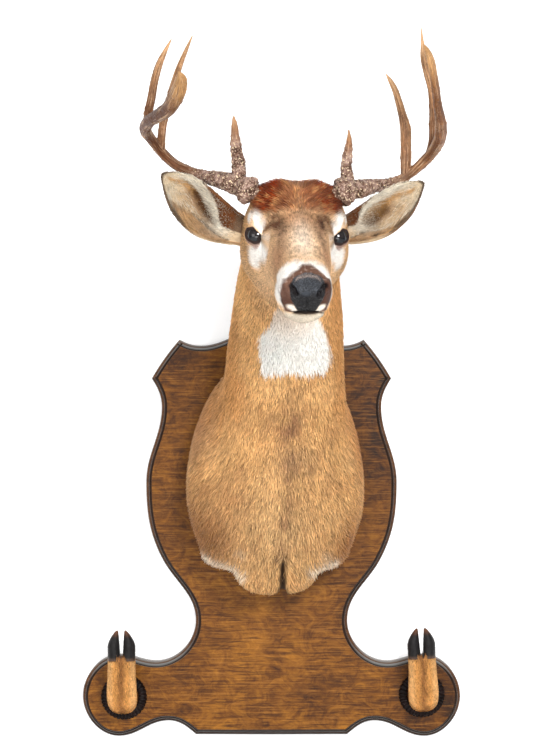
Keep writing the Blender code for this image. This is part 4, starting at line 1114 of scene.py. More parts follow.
# --------------------------------------------------------------------- coat --
class Coat:
    """Gathers tufts and turns them into joined, closed spikes."""

    def __init__(self):
        self.parts = []

    def add(self, root, nrm, flow, length, width, lift, col, uv, curl=0.0,
            side=None):
        """root, nrm, flow: N x 3 in mm; the rest N (or numbers)."""
        n = len(root)
        full = lambda v: np.broadcast_to(np.asarray(v, float), (n,)).copy()
        self.parts.append([root, nrm, flow, full(length), full(width),
                           full(lift), np.asarray(col, float),
                           np.asarray(uv, float), full(curl)])

    def joined(self):
        return [np.concatenate([p[k] for p in self.parts])
                for k in range(9)]

    def build(self, name, mat, most=19000):
        """Spikes of ten triangles: two rings of three points and a tip."""
        if not self.parts:
            return []
        root, nrm, flow, length, width, lift, col, uv, curl = self.joined()
        order = np.argsort(uv[:, 1], kind="stable")
        out = []
        count = max(1, math.ceil(len(root) / most))
        for k, idx in enumerate(np.array_split(order, count)):
            # each piece's own stretch of the unwrap fills its square
            v0, v1 = uv[idx, 1].min(), uv[idx, 1].max()
            at = uv[idx].copy()
            at[:, 1] = 0.01 + 0.98 * (at[:, 1] - v0) / max(v1 - v0, 1e-6)
            r, n, f = root[idx], unit(nrm[idx]), flow[idx]
            f = unit(f - n * np.sum(f * n, -1, keepdims=True))
            s = np.cross(n, f)
            L, W, H, C = (v[idx][:, None] for v in (length, width, lift, curl))
            base = r - n * 0.5
            mid = r + f * L * 0.45 + n * H * 0.62 + s * C * L * 0.25
            tip = r + f * L + n * H + s * C * L
            up = n * (W * 0.34)
            v = np.stack([base - s * W * 0.5, base + s * W * 0.5, base + up,
                          mid - s * W * 0.42, mid + s * W * 0.42,
                          mid + up * 0.9, tip], 1)
            m = len(idx)
            o = np.arange(m)[:, None, None] * 7
            quads = np.array([[0, 2, 5, 3], [2, 1, 4, 5], [1, 0, 3, 4]])
            tris = np.array([[3, 5, 6], [5, 4, 6], [4, 3, 6], [0, 1, 2]])
            # the base triangle faces back along the tuft
            faces = [(o + quads[None]).reshape(-1, 4),
                     (o + tris[None]).reshape(-1, 3)]
            # painted shade: each tuft's colour darker toward its root, a little
            # lighter at its tip
            shade = np.array((0.74, 0.74, 0.80, 0.96, 0.96, 1.02, 1.10))
            c = col[idx][:, None, :] * shade[None, :, None]
            pu = np.array((0, 1, 0.5, 0, 1, 0.5, 0.5)) * 0.003 - 0.0015
            pv = np.array((0, 0, 0.15, 0.5, 0.5, 0.6, 1.0)) * 0.003 - 0.0015
            patch = at[:, None, :] + np.stack([pu, pv], -1)[None]
            patch = np.clip(patch, 0.001, 0.999)
            obj = mesh("%s_%d" % (name, k + 1), v.reshape(-1, 3), faces,
                       uv=patch.reshape(-1, 2), col=c.reshape(-1, 3), mat=mat)
            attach(obj, "root")
            out.append(obj)
        return out


def on_skin(si, tj):
    """Skin values at fractional grid places: point, normal, flow, solid."""
    i0 = np.clip(np.floor(si).astype(int), 0, ROWS - 2)
    fi = (si - i0)[:, None]
    j0 = np.floor(tj).astype(int) % COLS
    fj = (tj - np.floor(tj))[:, None]
    j1 = (j0 + 1) % COLS

    def at(g):
        return ((g[i0, j0] * (1 - fj) + g[i0, j1] * fj) * (1 - fi)
                + (g[i0 + 1, j0] * (1 - fj) + g[i0 + 1, j1] * fj) * fi)
    return at(SKIN), unit(at(SKIN_N)), unit(at(SKIN_U)), unit(at(SKIN_V)), \
        at(SOLID)


def scatter(spacing):
    """Roots over the skin with a spacing that varies along it.

    Returns fractional grid places; spacing(s) is in mm.
    """
    seg = np.linalg.norm(np.roll(SKIN, -1, 1) - SKIN, axis=-1)
    ring = seg.sum(1)
    si, tj = [], []
    s = 1.0
    row_at = lambda v: np.interp(v, SKIN_S, np.arange(ROWS))
    while s < S_END - 1.5:
        gap = spacing(s)
        r = row_at(s)
        i = min(int(round(r)), ROWS - 1)
        n = max(3, int(ring[i] / gap))
        cum = np.concatenate([[0], np.cumsum(seg[i])])
        at = (np.arange(n) + RNG.random() + RNG.uniform(-0.42, 0.42, n)) \
            / n * cum[-1]
        tj.append(np.interp(at % cum[-1], cum, np.arange(COLS + 1)))
        jit = row_at(s + RNG.uniform(-0.5, 0.5, n) * gap)
        si.append(np.clip(jit, 0, ROWS - 1.001))
        s += gap
    return np.concatenate(si), np.concatenate(tj)


def theta_at(tj):
    j0 = np.floor(tj).astype(int) % COLS
    nxt = np.append(SKIN_TH, 2 * math.pi)
    return nxt[j0] + (nxt[j0 + 1] - nxt[j0]) * (tj - np.floor(tj))


def body_coat(mat):
    k = 1.0
    spacing = lambda s: k * np.interp(
        s, (0, 60, 180, 230, 262, 300, 400, 520, 730),
        (1.35, 1.6, 1.75, 1.9, 2.0, 2.15, 2.35, 2.5, 2.6))
    si, tj = scatter(spacing)
    p, n, fu, fv, solid = on_skin(si, tj)
    s = np.interp(si, np.arange(ROWS), SKIN_S)
    th = theta_at(tj)
    off = (th + math.pi) % (2 * math.pi) - math.pi
    a, lat, u, l, m = head_masks(solid)
    x, d, z = solid[:, 0], -solid[:, 1], solid[:, 2]
    col = coat_colour(solid, s, th)
    head = 1 - smooth(s, 255, 320)
    # lengths
    length = np.interp(s, (0, 20, 60, 140, 200, 240, 290, 340, 440, 560, 730),
                       (1.8, 2.6, 3.6, 4.6, 5.4, 7.5, 10, 12, 13.5, 15.5, 17))
    cap = smooth(26 - 0.30 * l - a, -6, 8) * smooth(u, 32, 46) * head \
        * smooth(a, -100, -86)
    length = length * (1 - cap) + 13.0 * cap
    width = np.interp(s, (0, 60, 200, 260, 340, 520, 730),
                      (0.55, 0.66, 0.80, 1.00, 1.20, 1.45, 1.60))
    width = width * (1 - cap) + 1.15 * cap
    deep = coat_depth(s)
    lift = deep * np.interp(s, (0, 100, 300, 730), (0.55, 0.62, 0.66, 0.66))
    lift = lift * (1 - cap) + 3.4 * cap * (0.45 + 0.55 * smooth(l, 3, 13))
    # which way it lies: along the body, parted on the crown, and swirling
    # round the brisket
    sgn = np.sign(lat + 1e-6)
    flow = fu.copy()
    flow += fv * (0.9 * cap * smooth(l, 2, 12) * sgn)[:, None]
    face = head * smooth(s, 60, 110) * (1 - smooth(s, 190, 230))
    out = smooth(l, 8, 30) * (1 - smooth(np.abs(off), 0.9, 1.6))
    flow += fv * (0.35 * face * out * sgn)[:, None]
    low = smooth(-z, -20, 40) * smooth(np.abs(off), 1.9, 2.5)
    toward = np.sign(x - 17.5)
    flow += np.array((1.0, 0, 0)) * (0.55 * low * toward * np.exp(
        -((np.abs(x - 15) - 8) / 14) ** 2))[:, None]
    wander = fractal(solid, 40, 41, 2) * 0.22 + RNG.normal(0, 0.15, len(s))
    flow += fv * wander[:, None]
    fringe = np.zeros(len(s))
    for line_, way in ((((-104, -25), (-88, -32), (-68, -36), (-52, -43),
                         (-43, -52)), (-0.75, 0.0, -0.65)),
                       (((60, -43), (76, -38), (98, -31)),
                        (0.65, 0.0, -0.75))):
        dist, _ = line_distance(np.stack([x, z], -1), line_)
        w = np.exp(-(dist / 7.5) ** 2) * smooth(d, 45, 90)
        flow = flow + np.array(way) * (2.2 * w)[:, None]
        fringe = np.maximum(fringe, w)
    keep = (m["q"] > 1.22) & (m["pad"] < 0.3) & (m["q"] > 0)
    for e in (-1, 1):
        qq, r = eye_fields(p, e)[:2]
        keep &= ~((qq < 1.25) & (r < EYE_R + 6))
        near = (qq < 1.8) & (r < EYE_R + 9)
        length = np.where(near, length * 0.55, length)
        lift = np.where(near, lift * 0.45, lift)
        width = np.where(near, width * 0.8, width)
    dist, _ = line_distance(np.stack([a, l, u], -1), MOUTH)
    keep &= ~((dist < 2.0) & (a > 118))
    dist, _ = line_distance(np.stack([a, l, u], -1), NOSTRIL)
    keep &= dist > 4.2
    keep &= s > 3.0
    keep &= ~((np.abs(x - 17.5) < 3.4 + 0.04 * np.clip(-z - 30, 0, 40))
              & (z < -30) & (np.abs(off) > 1.2))
    length, lift = length * (1 + 0.25 * fringe), lift * (1 + 0.35 * fringe)
    close = smooth(m["dark"], 0.3, 0.8)
    length, lift = length * (1 - 0.35 * close), lift * (1 - 0.4 * close)
    # hair by hair
    num = len(s)
    length = length * RNG.uniform(0.72, 1.22, num)
    width = width * RNG.uniform(0.75, 1.3, num)
    lift = lift * RNG.uniform(0.55, 1.15, num)
    tone = 1 + RNG.normal(0, 1, num) * (0.14 + 0.06 * head)
    tone = tone + cap * RNG.normal(0, 0.13, num)
    white = smooth(col.min(1), 0.45, 0.65)
    dark = (RNG.random(num) < 0.16) & (white < 0.5)
    tone = np.where(dark, tone * RNG.uniform(0.45, 0.75, num), tone)
    pale = (RNG.random(num) < 0.07) & (white < 0.5)
    tone = np.where(pale, tone * RNG.uniform(1.06, 1.22, num), tone)
    tone = 1 + (tone - 1) * (1 - 0.80 * white)
    col = np.clip(col * tone[:, None], 0.003, 0.97)
    uv = np.stack([0.02 + 0.96 * (th / (2 * math.pi)),
                   0.02 + 0.96 * s / S_END], -1)
    wall = (d - length * 0.9 < BOARD_T) & (fu[:, 1] > 0.2)
    length = np.where(wall, np.maximum((d - BOARD_T) * 0.8, 2.0), length)
    k2 = keep & (p[:, 1] < -(BOARD_T + 1.0))
    made = []
    for label, lo, hi in (("coat_head", -1, 285), ("coat_body", 285, 9999)):
        sel = k2 & (s > lo) & (s <= hi)
        c = Coat()
        v = uv[sel].copy()
        if hi < 999:
            v[:, 1] = 0.02 + 0.96 * s[sel] / 285.0
        else:
            v[:, 1] = 0.02 + 0.96 * (s[sel] - 285.0) / (S_END - 285.0)
        c.add(p[sel], n[sel], flow[sel], length[sel], width[sel], lift[sel],
              col[sel], v, curl=RNG.normal(0, 0.10, sel.sum()))
        made += c.build(label, mat)
        print(label, int(sel.sum()), "tufts")
    return made


# ------------------------------------------------------------------ sheets --
class Sheet:
    """A grid of points with what is needed to plant tufts on it."""

    def __init__(self, p, closed, out):
        self.p, self.closed = p, closed
        self.rows, self.cols = p.shape[:2]
        pu = np.gradient(p, axis=0)
        if closed:
            pv = (np.roll(p, -1, 1) - np.roll(p, 1, 1)) / 2
        else:
            pv = np.gradient(p, axis=1)
        n = np.cross(pu, pv)
        self.area = np.linalg.norm(n, axis=-1)
        n = n / np.maximum(self.area, 1e-9)[..., None]
        flip = np.sum(n * out, -1).sum() < 0
        self.n = -n if flip else n
        self.u, self.v = unit(pu + 1e-9), unit(pv + 1e-9)

    def roots(self, gap, weight=None):
        w = self.area.copy()
        if weight is not None:
            w = w * weight
        w[-1] = 0
        if not self.closed:
            w[:, -1] = 0
        count = int(w.sum() / gap ** 2)
        pick = RNG.choice(w.size, count, p=(w / w.sum()).ravel())
        i, j = np.divmod(pick, self.cols)
        return i + RNG.random(count), j + RNG.random(count)

    def at(self, g, i, j):
        i0 = np.clip(np.floor(i).astype(int), 0, self.rows - 2)
        j0 = np.floor(j).astype(int)
        fi, fj = (i - i0)[:, None], (j - j0)[:, None]
        if self.closed:
            j0, j1 = j0 % self.cols, (j0 + 1) % self.cols
        else:
            j0 = np.clip(j0, 0, self.cols - 2)
            j1 = j0 + 1
        return ((g[i0, j0] * (1 - fj) + g[i0, j1] * fj) * (1 - fi)
                + (g[i0 + 1, j0] * (1 - fj) + g[i0 + 1, j1] * fj) * fi)


def hair_tones(num, spread=0.11, dark=0.12, pale=0.10):
    tone = 1 + RNG.normal(0, spread, num)
    pick = RNG.random(num)
    tone = np.where(pick < dark, tone * RNG.uniform(0.45, 0.7, num), tone)
    return np.where(pick > 1 - pale, tone * RNG.uniform(1.1, 1.3, num), tone)


def ear_coat(sgn, mat):
    thin = 1.0
    t = np.linspace(-0.02, 0.995, 90)
    k = np.linspace(-1, 1, 61)
    outer, inner = ear_grids(sgn, t, k)
    root, axis, length, front, rim = ear_frame(sgn)
    mid = (outer + inner) / 2
    coat = Coat()
    # the outside: short, close hair
    sh = Sheet(outer, False, outer - mid.mean(1, keepdims=True))
    i, j = sh.roots(1.55 * thin)
    p, n = sh.at(sh.p, i, j), unit(sh.at(sh.n, i, j))
    tt = np.interp(i, np.arange(90), t)
    kk = np.interp(j, np.arange(61), k)
    col = ear_outer_colour(tt, kk, p) * hair_tones(len(p), 0.12)[:, None]
    flow = unit(sh.at(sh.u, i, j)) + sh.at(sh.v, i, j) * RNG.normal(
        0, 0.16, len(p))[:, None]
    size = 5.2 * RNG.uniform(0.7, 1.25, len(p)) * (1 - 0.45 * smooth(
        tt, 0.75, 1.0))
    size = np.minimum(size, (1.005 - tt) * length * 0.9 + 1.0)
    coat.add(p, n, flow, size, 0.95 * RNG.uniform(0.8, 1.25, len(p)),
             0.75, col, np.stack([0.02 + 0.46 * (kk + 1) / 2,
                                  0.02 + 0.96 * tt], -1),
             curl=RNG.normal(0, 0.08, len(p)))
    # the inside: a short coat, then long pale hair sweeping to the tip
    sh = Sheet(inner, False, np.broadcast_to(front, inner.shape))
    for gap, lo, hi, wide, long_hair in ((1.6, 4.0, 7.0, 0.85, False),
                                         (2.1, 11.0, 22.0, 0.75, True)):
        kw = np.repeat(k[None], 90, 0)
        tw = np.repeat(t[:, None], 61, 1)
        w = smooth(tw, 0.02, 0.06)
        if long_hair:
            w = w * (0.30 + 1.5 * np.exp(-((kw - 0.80) / 0.20) ** 2)
                     + 1.0 * np.exp(-((kw + 0.80) / 0.22) ** 2)
                     + 0.9 * np.exp(-((tw - 0.30) / 0.15) ** 2)) \
                * smooth(0.90 - tw, 0, 0.12)
        i, j = sh.roots(gap * thin, w)
        p, n = sh.at(sh.p, i, j), unit(sh.at(sh.n, i, j))
        tt = np.interp(i, np.arange(90), t)
        kk = np.interp(j, np.arange(61), k)
        col = ear_inner_colour(tt, kk, p, sgn)
        mk = ear_marks(sgn, tt, kk)
        size = RNG.uniform(lo, hi, len(p))
        lift = 1.0
        flow = unit(sh.at(sh.u, i, j)) * 1.0
        side = sh.at(sh.v, i, j)
        if long_hair:
            hue = RNG.random(len(p))[:, None]
            pale = np.array((0.64, 0.53, 0.38)) * (1 - hue) \
                + np.array((0.76, 0.70, 0.60)) * hue
            col = mix(pale, col, np.clip(0.35 + 0.45 * mk["streak"]
                                         + 0.6 * mk["roll"], 0, 0.9))
            part = (RNG.random(len(p)) < np.maximum(
                np.maximum(np.clip(mk["round"] * 1.6, 0, 1), mk["back"]),
                mk["slit"]) * (1 - 0.6 * mk["lip"]))
            size = np.where(part, 0.5, size)
            flow = flow - side * (0.55 * np.clip(kk, -1, 1)
                                  * (1 - 0.9 * mk["lip"]))[:, None]
            size = size * (1 - 0.55 * smooth(tt, 0.55, 0.95)) \
                * (0.75 + 0.45 * np.abs(kk))
            size = np.minimum(size, np.interp(tt, (0.1, 0.34, 0.42),
                                              (5.5, 7.0, 99)))
            size = size * (1 - 0.35 * mk["lip"])
            lift = 2.6 * RNG.uniform(0.4, 1.3, len(p))
        flow = flow + side * RNG.normal(0, 0.20, len(p))[:, None]
        size = np.minimum(size, (1.0 - tt) * length * 0.85 + 1.0)
        coat.add(p, n, flow, size, wide * RNG.uniform(0.75, 1.25, len(p)),
                 lift, np.clip(col * hair_tones(len(p), 0.09, 0.05)[:, None],
                               0.004, 0.95),
                 np.stack([0.52 + 0.46 * (kk + 1) / 2, 0.02 + 0.96 * tt], -1),
                 curl=RNG.normal(0, 0.10, len(p)))
    # fringes along both edges
    for edge, count, c0, c1 in ((1, 700, (0.74, 0.66, 0.53),
                                 (0.60, 0.46, 0.31)),
                                (-1, 800, (0.110, 0.078, 0.052),
                                 (0.46, 0.32, 0.19))):
        n_h = int(count / thin)
        tt = RNG.uniform(0.10, 0.985, n_h)
        i = np.interp(tt, t, np.arange(90))
        j = np.full(n_h, 59.6 if edge > 0 else 0.4)
        j = j - edge * RNG.uniform(0, 3.0, n_h)
        p = sh.at(sh.p, i, j) * 0.5 + sh.at(outer, i, j) * 0.5
        n = unit(sh.at(sh.n, i, j))
        along = unit(sh.at(sh.u, i, j))
        out = unit(sh.at(sh.v, i, j)) * edge
        flow = along + out * RNG.uniform(0.05, 0.40, n_h)[:, None]
        if edge > 0:
            near = tt < (0.56 if sgn < 0 else 0.40)
            share = smooth(0.84 - tt, 0, 0.25) * ~near
        else:
            share = 1 - smooth(tt, 0.30, 0.55)
        pick = (RNG.random(n_h) < share)[:, None]
        if edge > 0:
            col = np.where(pick, c0, (0.125, 0.088, 0.060))
        else:
            col = np.where(pick, c1, c0)
        col = col * RNG.uniform(0.85, 1.15, n_h)[:, None]
        size = RNG.uniform(4, 8.5, n_h) * (1 - 0.5 * smooth(tt, 0.7, 1.0))
        size = np.minimum(size, (1.0 - tt) * length * 0.8 + 1.2)
        coat.add(p, n, flow, size, 0.75, RNG.uniform(0.2, 1.4, n_h),
                 np.clip(col, 0.004, 0.95),
                 np.stack([np.where(np.ones(n_h) * edge > 0, 0.985, 0.505),
                           0.02 + 0.96 * tt], -1))
    return coat.build("coat_ear_%s" % ("r" if sgn < 0 else "l"), mat)


# -------------------------------------------------------------------- eyes --
def eye_ball(sgn, mat):
    c = head_point(EYE_FWD, sgn * EYE_OUT, EYE_UP)
    rows, cols = 41, 64
    ph = np.linspace(0, math.pi, rows)[1:-1]
    th = np.linspace(0, 2 * math.pi, cols, endpoint=False)
    ax = HF * math.cos(EYE_OPEN_AZ) + HL * sgn * math.sin(EYE_OPEN_AZ)
    ax = ax / np.linalg.norm(ax)
    up = HU - ax * (HU @ ax)
    up = up / np.linalg.norm(up)
    side = np.cross(up, ax)
    ring = (ax * np.cos(ph)[:, None, None]
            + (side * np.cos(th)[None, :, None]
               + up * np.sin(th)[None, :, None])
            * np.sin(ph)[:, None, None])
    # the clear front stands a little proud of the ball
    bulge = 1 + 0.035 * np.exp(-(ph / 0.55) ** 4)
    co = (c + ring * (EYE_R * 0.985) * bulge[:, None, None]).reshape(-1, 3)
    n = len(co)
    co = np.concatenate([co, [c + ax * EYE_R * 0.985 * 1.035,
                              c - ax * EYE_R * 0.985]])
    r = len(ph)
    # pupil, iris and the dark edge
    tx = (ring @ side).reshape(-1)
    ty = (ring @ up).reshape(-1)
    rad = np.hypot(tx, ty)
    front = (ring @ ax).reshape(-1) > 0
    pupil = np.hypot(tx / 0.50, ty / 0.27)
    col = np.tile(np.array((0.015, 0.011, 0.010)), (n, 1))
    col = mix(col, (0.004, 0.004, 0.005), 1 - smooth(pupil, 0.85, 1.15))
    col = mix(col, (0.006, 0.005, 0.005), smooth(rad, 0.68, 0.80))
    col = np.where(front[:, None], col, 0.006)
    col = np.concatenate([col, [[0.004] * 3, [0.006] * 3]])
    faces = [grid_faces(r, cols), cap_fan(0, cols, n, flip=True),
             cap_fan((r - 1) * cols, cols, n + 1)]
    o = mesh("glass_eye_%s" % ("r" if sgn < 0 else "l"), co, faces, col=col,
             mat=mat)
    outward(o)
    name = "eye_r" if sgn < 0 else "eye_l"
    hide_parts(name)
    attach(o, "root")
    return o


def outward(o):
    bm = bmesh.new()
    bm.from_mesh(o.data)
    bmesh.ops.recalc_face_normals(bm, faces=bm.faces)
    bm.to_mesh(o.data)
    bm.free()


# ----------------------------------------------------------------- antlers --
ANTLERS = {
    "r": {
        "beam": ((-17, -340, 493, 8), (-24, -337, 496, 12),
                 (-28, -337, 498, 19.3), (-33, -333, 501, 20),
                 (-39, -327, 504, 15.3), (-55, -312, 512, 14.5),
                 (-72, -297, 518, 12.5), (-93, -280, 524, 10),
                 (-115, -267, 532, 8.8), (-136, -262, 543, 8.2),
                 (-154, -270, 559, 8), (-168, -295, 575, 8),
                 (-174, -335, 584, 8.8), (-165, -385, 591, 9.2),
                 (-150, -420, 595, 10), (-136, -450, 601, 10.8),
                 (-126, -478, 612, 11), (-119, -502, 624, 9.8),
                 (-117, -515, 632, 7), (-120, -525, 639, 1.6)),
        "brow": ((-44, -322, 513, 11.5), (-45, -322, 535, 10.2),
                 (-48, -324, 556, 8.8), (-50, -328, 573, 7.2),
                 (-51, -332, 590, 5.2), (-52, -335, 604, 1.3)),
        "tine2": ((-150, -275, 562, 7.6), (-154, -285, 582, 6.5),
                  (-151, -292, 602, 6.6), (-144, -300, 625, 6.4),
                  (-136, -307, 650, 5.8), (-128, -312, 674, 4.8),
                  (-118, -316, 698, 3.3), (-109, -318, 718, 1.2)),
        "tine3": ((-169, -370, 592, 7.6), (-167, -376, 605, 7.2),
                  (-163, -383, 623, 6.6), (-159, -388, 643, 6.2),
                  (-153, -392, 664, 5.6), (-145, -395, 682, 4),
                  (-135, -397, 701, 1.2)),
        "split": (9, 12),
    },
    "l": {
        "beam": ((85, -336, 492, 8), (92, -333, 495, 12),
                 (96, -333, 497, 19.3), (101, -329, 499, 20),
                 (107, -323, 501, 15.3), (124, -307, 505, 13.5),
                 (143, -289, 510, 10.2), (164, -272, 515, 8),
                 (183, -264, 522, 7.6), (200, -266, 533, 7.8),
                 (215, -279, 546, 8.4), (226, -305, 558, 9),
                 (232, -338, 570, 9.2), (232, -370, 583, 8.8),
                 (228, -400, 596, 7.6), (223, -426, 611, 6.2),
                 (219, -450, 627, 6.1), (214, -474, 644, 6.1),
                 (209, -495, 659, 5.6), (204, -506, 669, 4.2),
                 (198, -514, 677, 1.3)),
        "brow": ((104, -318, 511, 11), (104, -318, 530, 8.7),
                 (105, -321, 544, 7.9), (107, -324, 559, 6.3),
                 (108, -328, 572, 4.1), (107, -331, 585, 1.3)),
        "tine2": ((189, -264, 525, 8.6), (190, -266, 549, 8.5),
                  (190, -268, 570, 8.5), (189, -271, 595, 8.2),
                  (184, -273, 614, 6.6), (179, -276, 631, 5.7),
                  (174, -279, 646, 5), (167, -282, 659, 3.7),
                  (161, -284, 668, 1.3)),
        "tine3": ((222, -293, 553, 8), (226, -300, 574, 7.2),
                  (226, -306, 594, 7), (226, -312, 614, 7),
                  (224, -318, 638, 7), (217, -324, 663, 6.6),
                  (211, -330, 685, 5.4), (209, -334, 703, 3.2),
                  (207, -337, 725, 1.2)),
        "split": (9, 11),
    },
}


def rooted(tine, beam):
    """Start a tine on the nearest point of the beam's middle line."""
    k = np.array(beam, float)
    line = catmull(np.arange(len(k)), k, np.linspace(2, len(k) - 1, 400))
    t = np.array(tine, float)
    near = line[np.argmin(np.linalg.norm(line[:, :3] - t[0, :3], axis=1))]
    t[0, :3] = near[:3]
    t[0, 3] = min(t[0, 3], near[3] - 1.2)
    return t


def run_of(keys, step=2.0):
    """Fine samples along keys: place and radius, distance, and a frame."""
    k = np.array(keys, float)
    run = np.concatenate([[0], np.cumsum(
        np.linalg.norm(np.diff(k[:, :3], axis=0), axis=1))])
    at = np.linspace(0, run[-1], max(8, int(run[-1] / step)))
    p = catmull(run, k, at)
    t = unit(np.gradient(p[:, :3], axis=0))
    a = np.cross(t[0], (0.0, 0.0, 1.0))
    if np.linalg.norm(a) < 0.2:
        a = np.cross(t[0], (1.0, 0.0, 0.0))
    frames = []
    for tv in t:
        a = a - tv * (a @ tv)
        a = a / np.linalg.norm(a)
        frames.append((a, np.cross(tv, a)))
    f = np.array(frames)
    return {"p": p, "s": at, "t": t, "a": f[:, 0], "b": f[:, 1]}


def antler_fields(v, runs):
    """For points v: which run, distance along it, angle round it, radius."""
    best = np.full(len(v), 1e9)
    out = {k: np.zeros(len(v)) for k in ("run", "s", "frac", "ang", "r")}
    for i, q in enumerate(runs):
        c, r = q["p"][:, :3], q["p"][:, 3]
        for a0 in range(0, len(v), 12000):
            sl = slice(a0, a0 + 12000)
            d2 = (np.sum(v[sl] ** 2, 1)[:, None] + np.sum(c ** 2, 1)[None]
                  - 2 * v[sl] @ c.T)
            d = np.sqrt(np.maximum(d2, 0)) - r[None]
            j = np.argmin(d, 1)
            val = d[np.arange(len(j)), j]
            win = val < best[sl]
            rel = v[sl] - c[j]
            ang = np.arctan2(np.sum(rel * q["b"][j], 1),
                             np.sum(rel * q["a"][j], 1))
            for key, x in (("run", np.full(len(j), i)), ("s", q["s"][j]),
                           ("frac", q["s"][j] / q["s"][-1]), ("ang", ang),
                           ("r", r[j])):
                out[key][sl] = np.where(win, x, out[key][sl])
            best[sl] = np.where(win, val, best[sl])
    return out


ANTLER_TONES = {
    "r": ((0, (0.50, 0.33, 0.28)), (26, (0.40, 0.27, 0.21)),
          (60, (0.42, 0.27, 0.20)), (120, (0.28, 0.150, 0.080)),
          (190, (0.235, 0.118, 0.056)), (300, (0.155, 0.062, 0.022)),
          (400, (0.21, 0.095, 0.034)), (470, (0.46, 0.27, 0.115)),
          (560, (0.58, 0.36, 0.17))),
    "l": ((0, (0.50, 0.33, 0.28)), (26, (0.44, 0.31, 0.25)),
          (60, (0.55, 0.41, 0.32)), (120, (0.50, 0.35, 0.24)),
          (190, (0.35, 0.205, 0.115)), (300, (0.265, 0.135, 0.065)),
          (400, (0.33, 0.18, 0.080)), (470, (0.50, 0.32, 0.17)),
          (560, (0.58, 0.36, 0.17))),
}


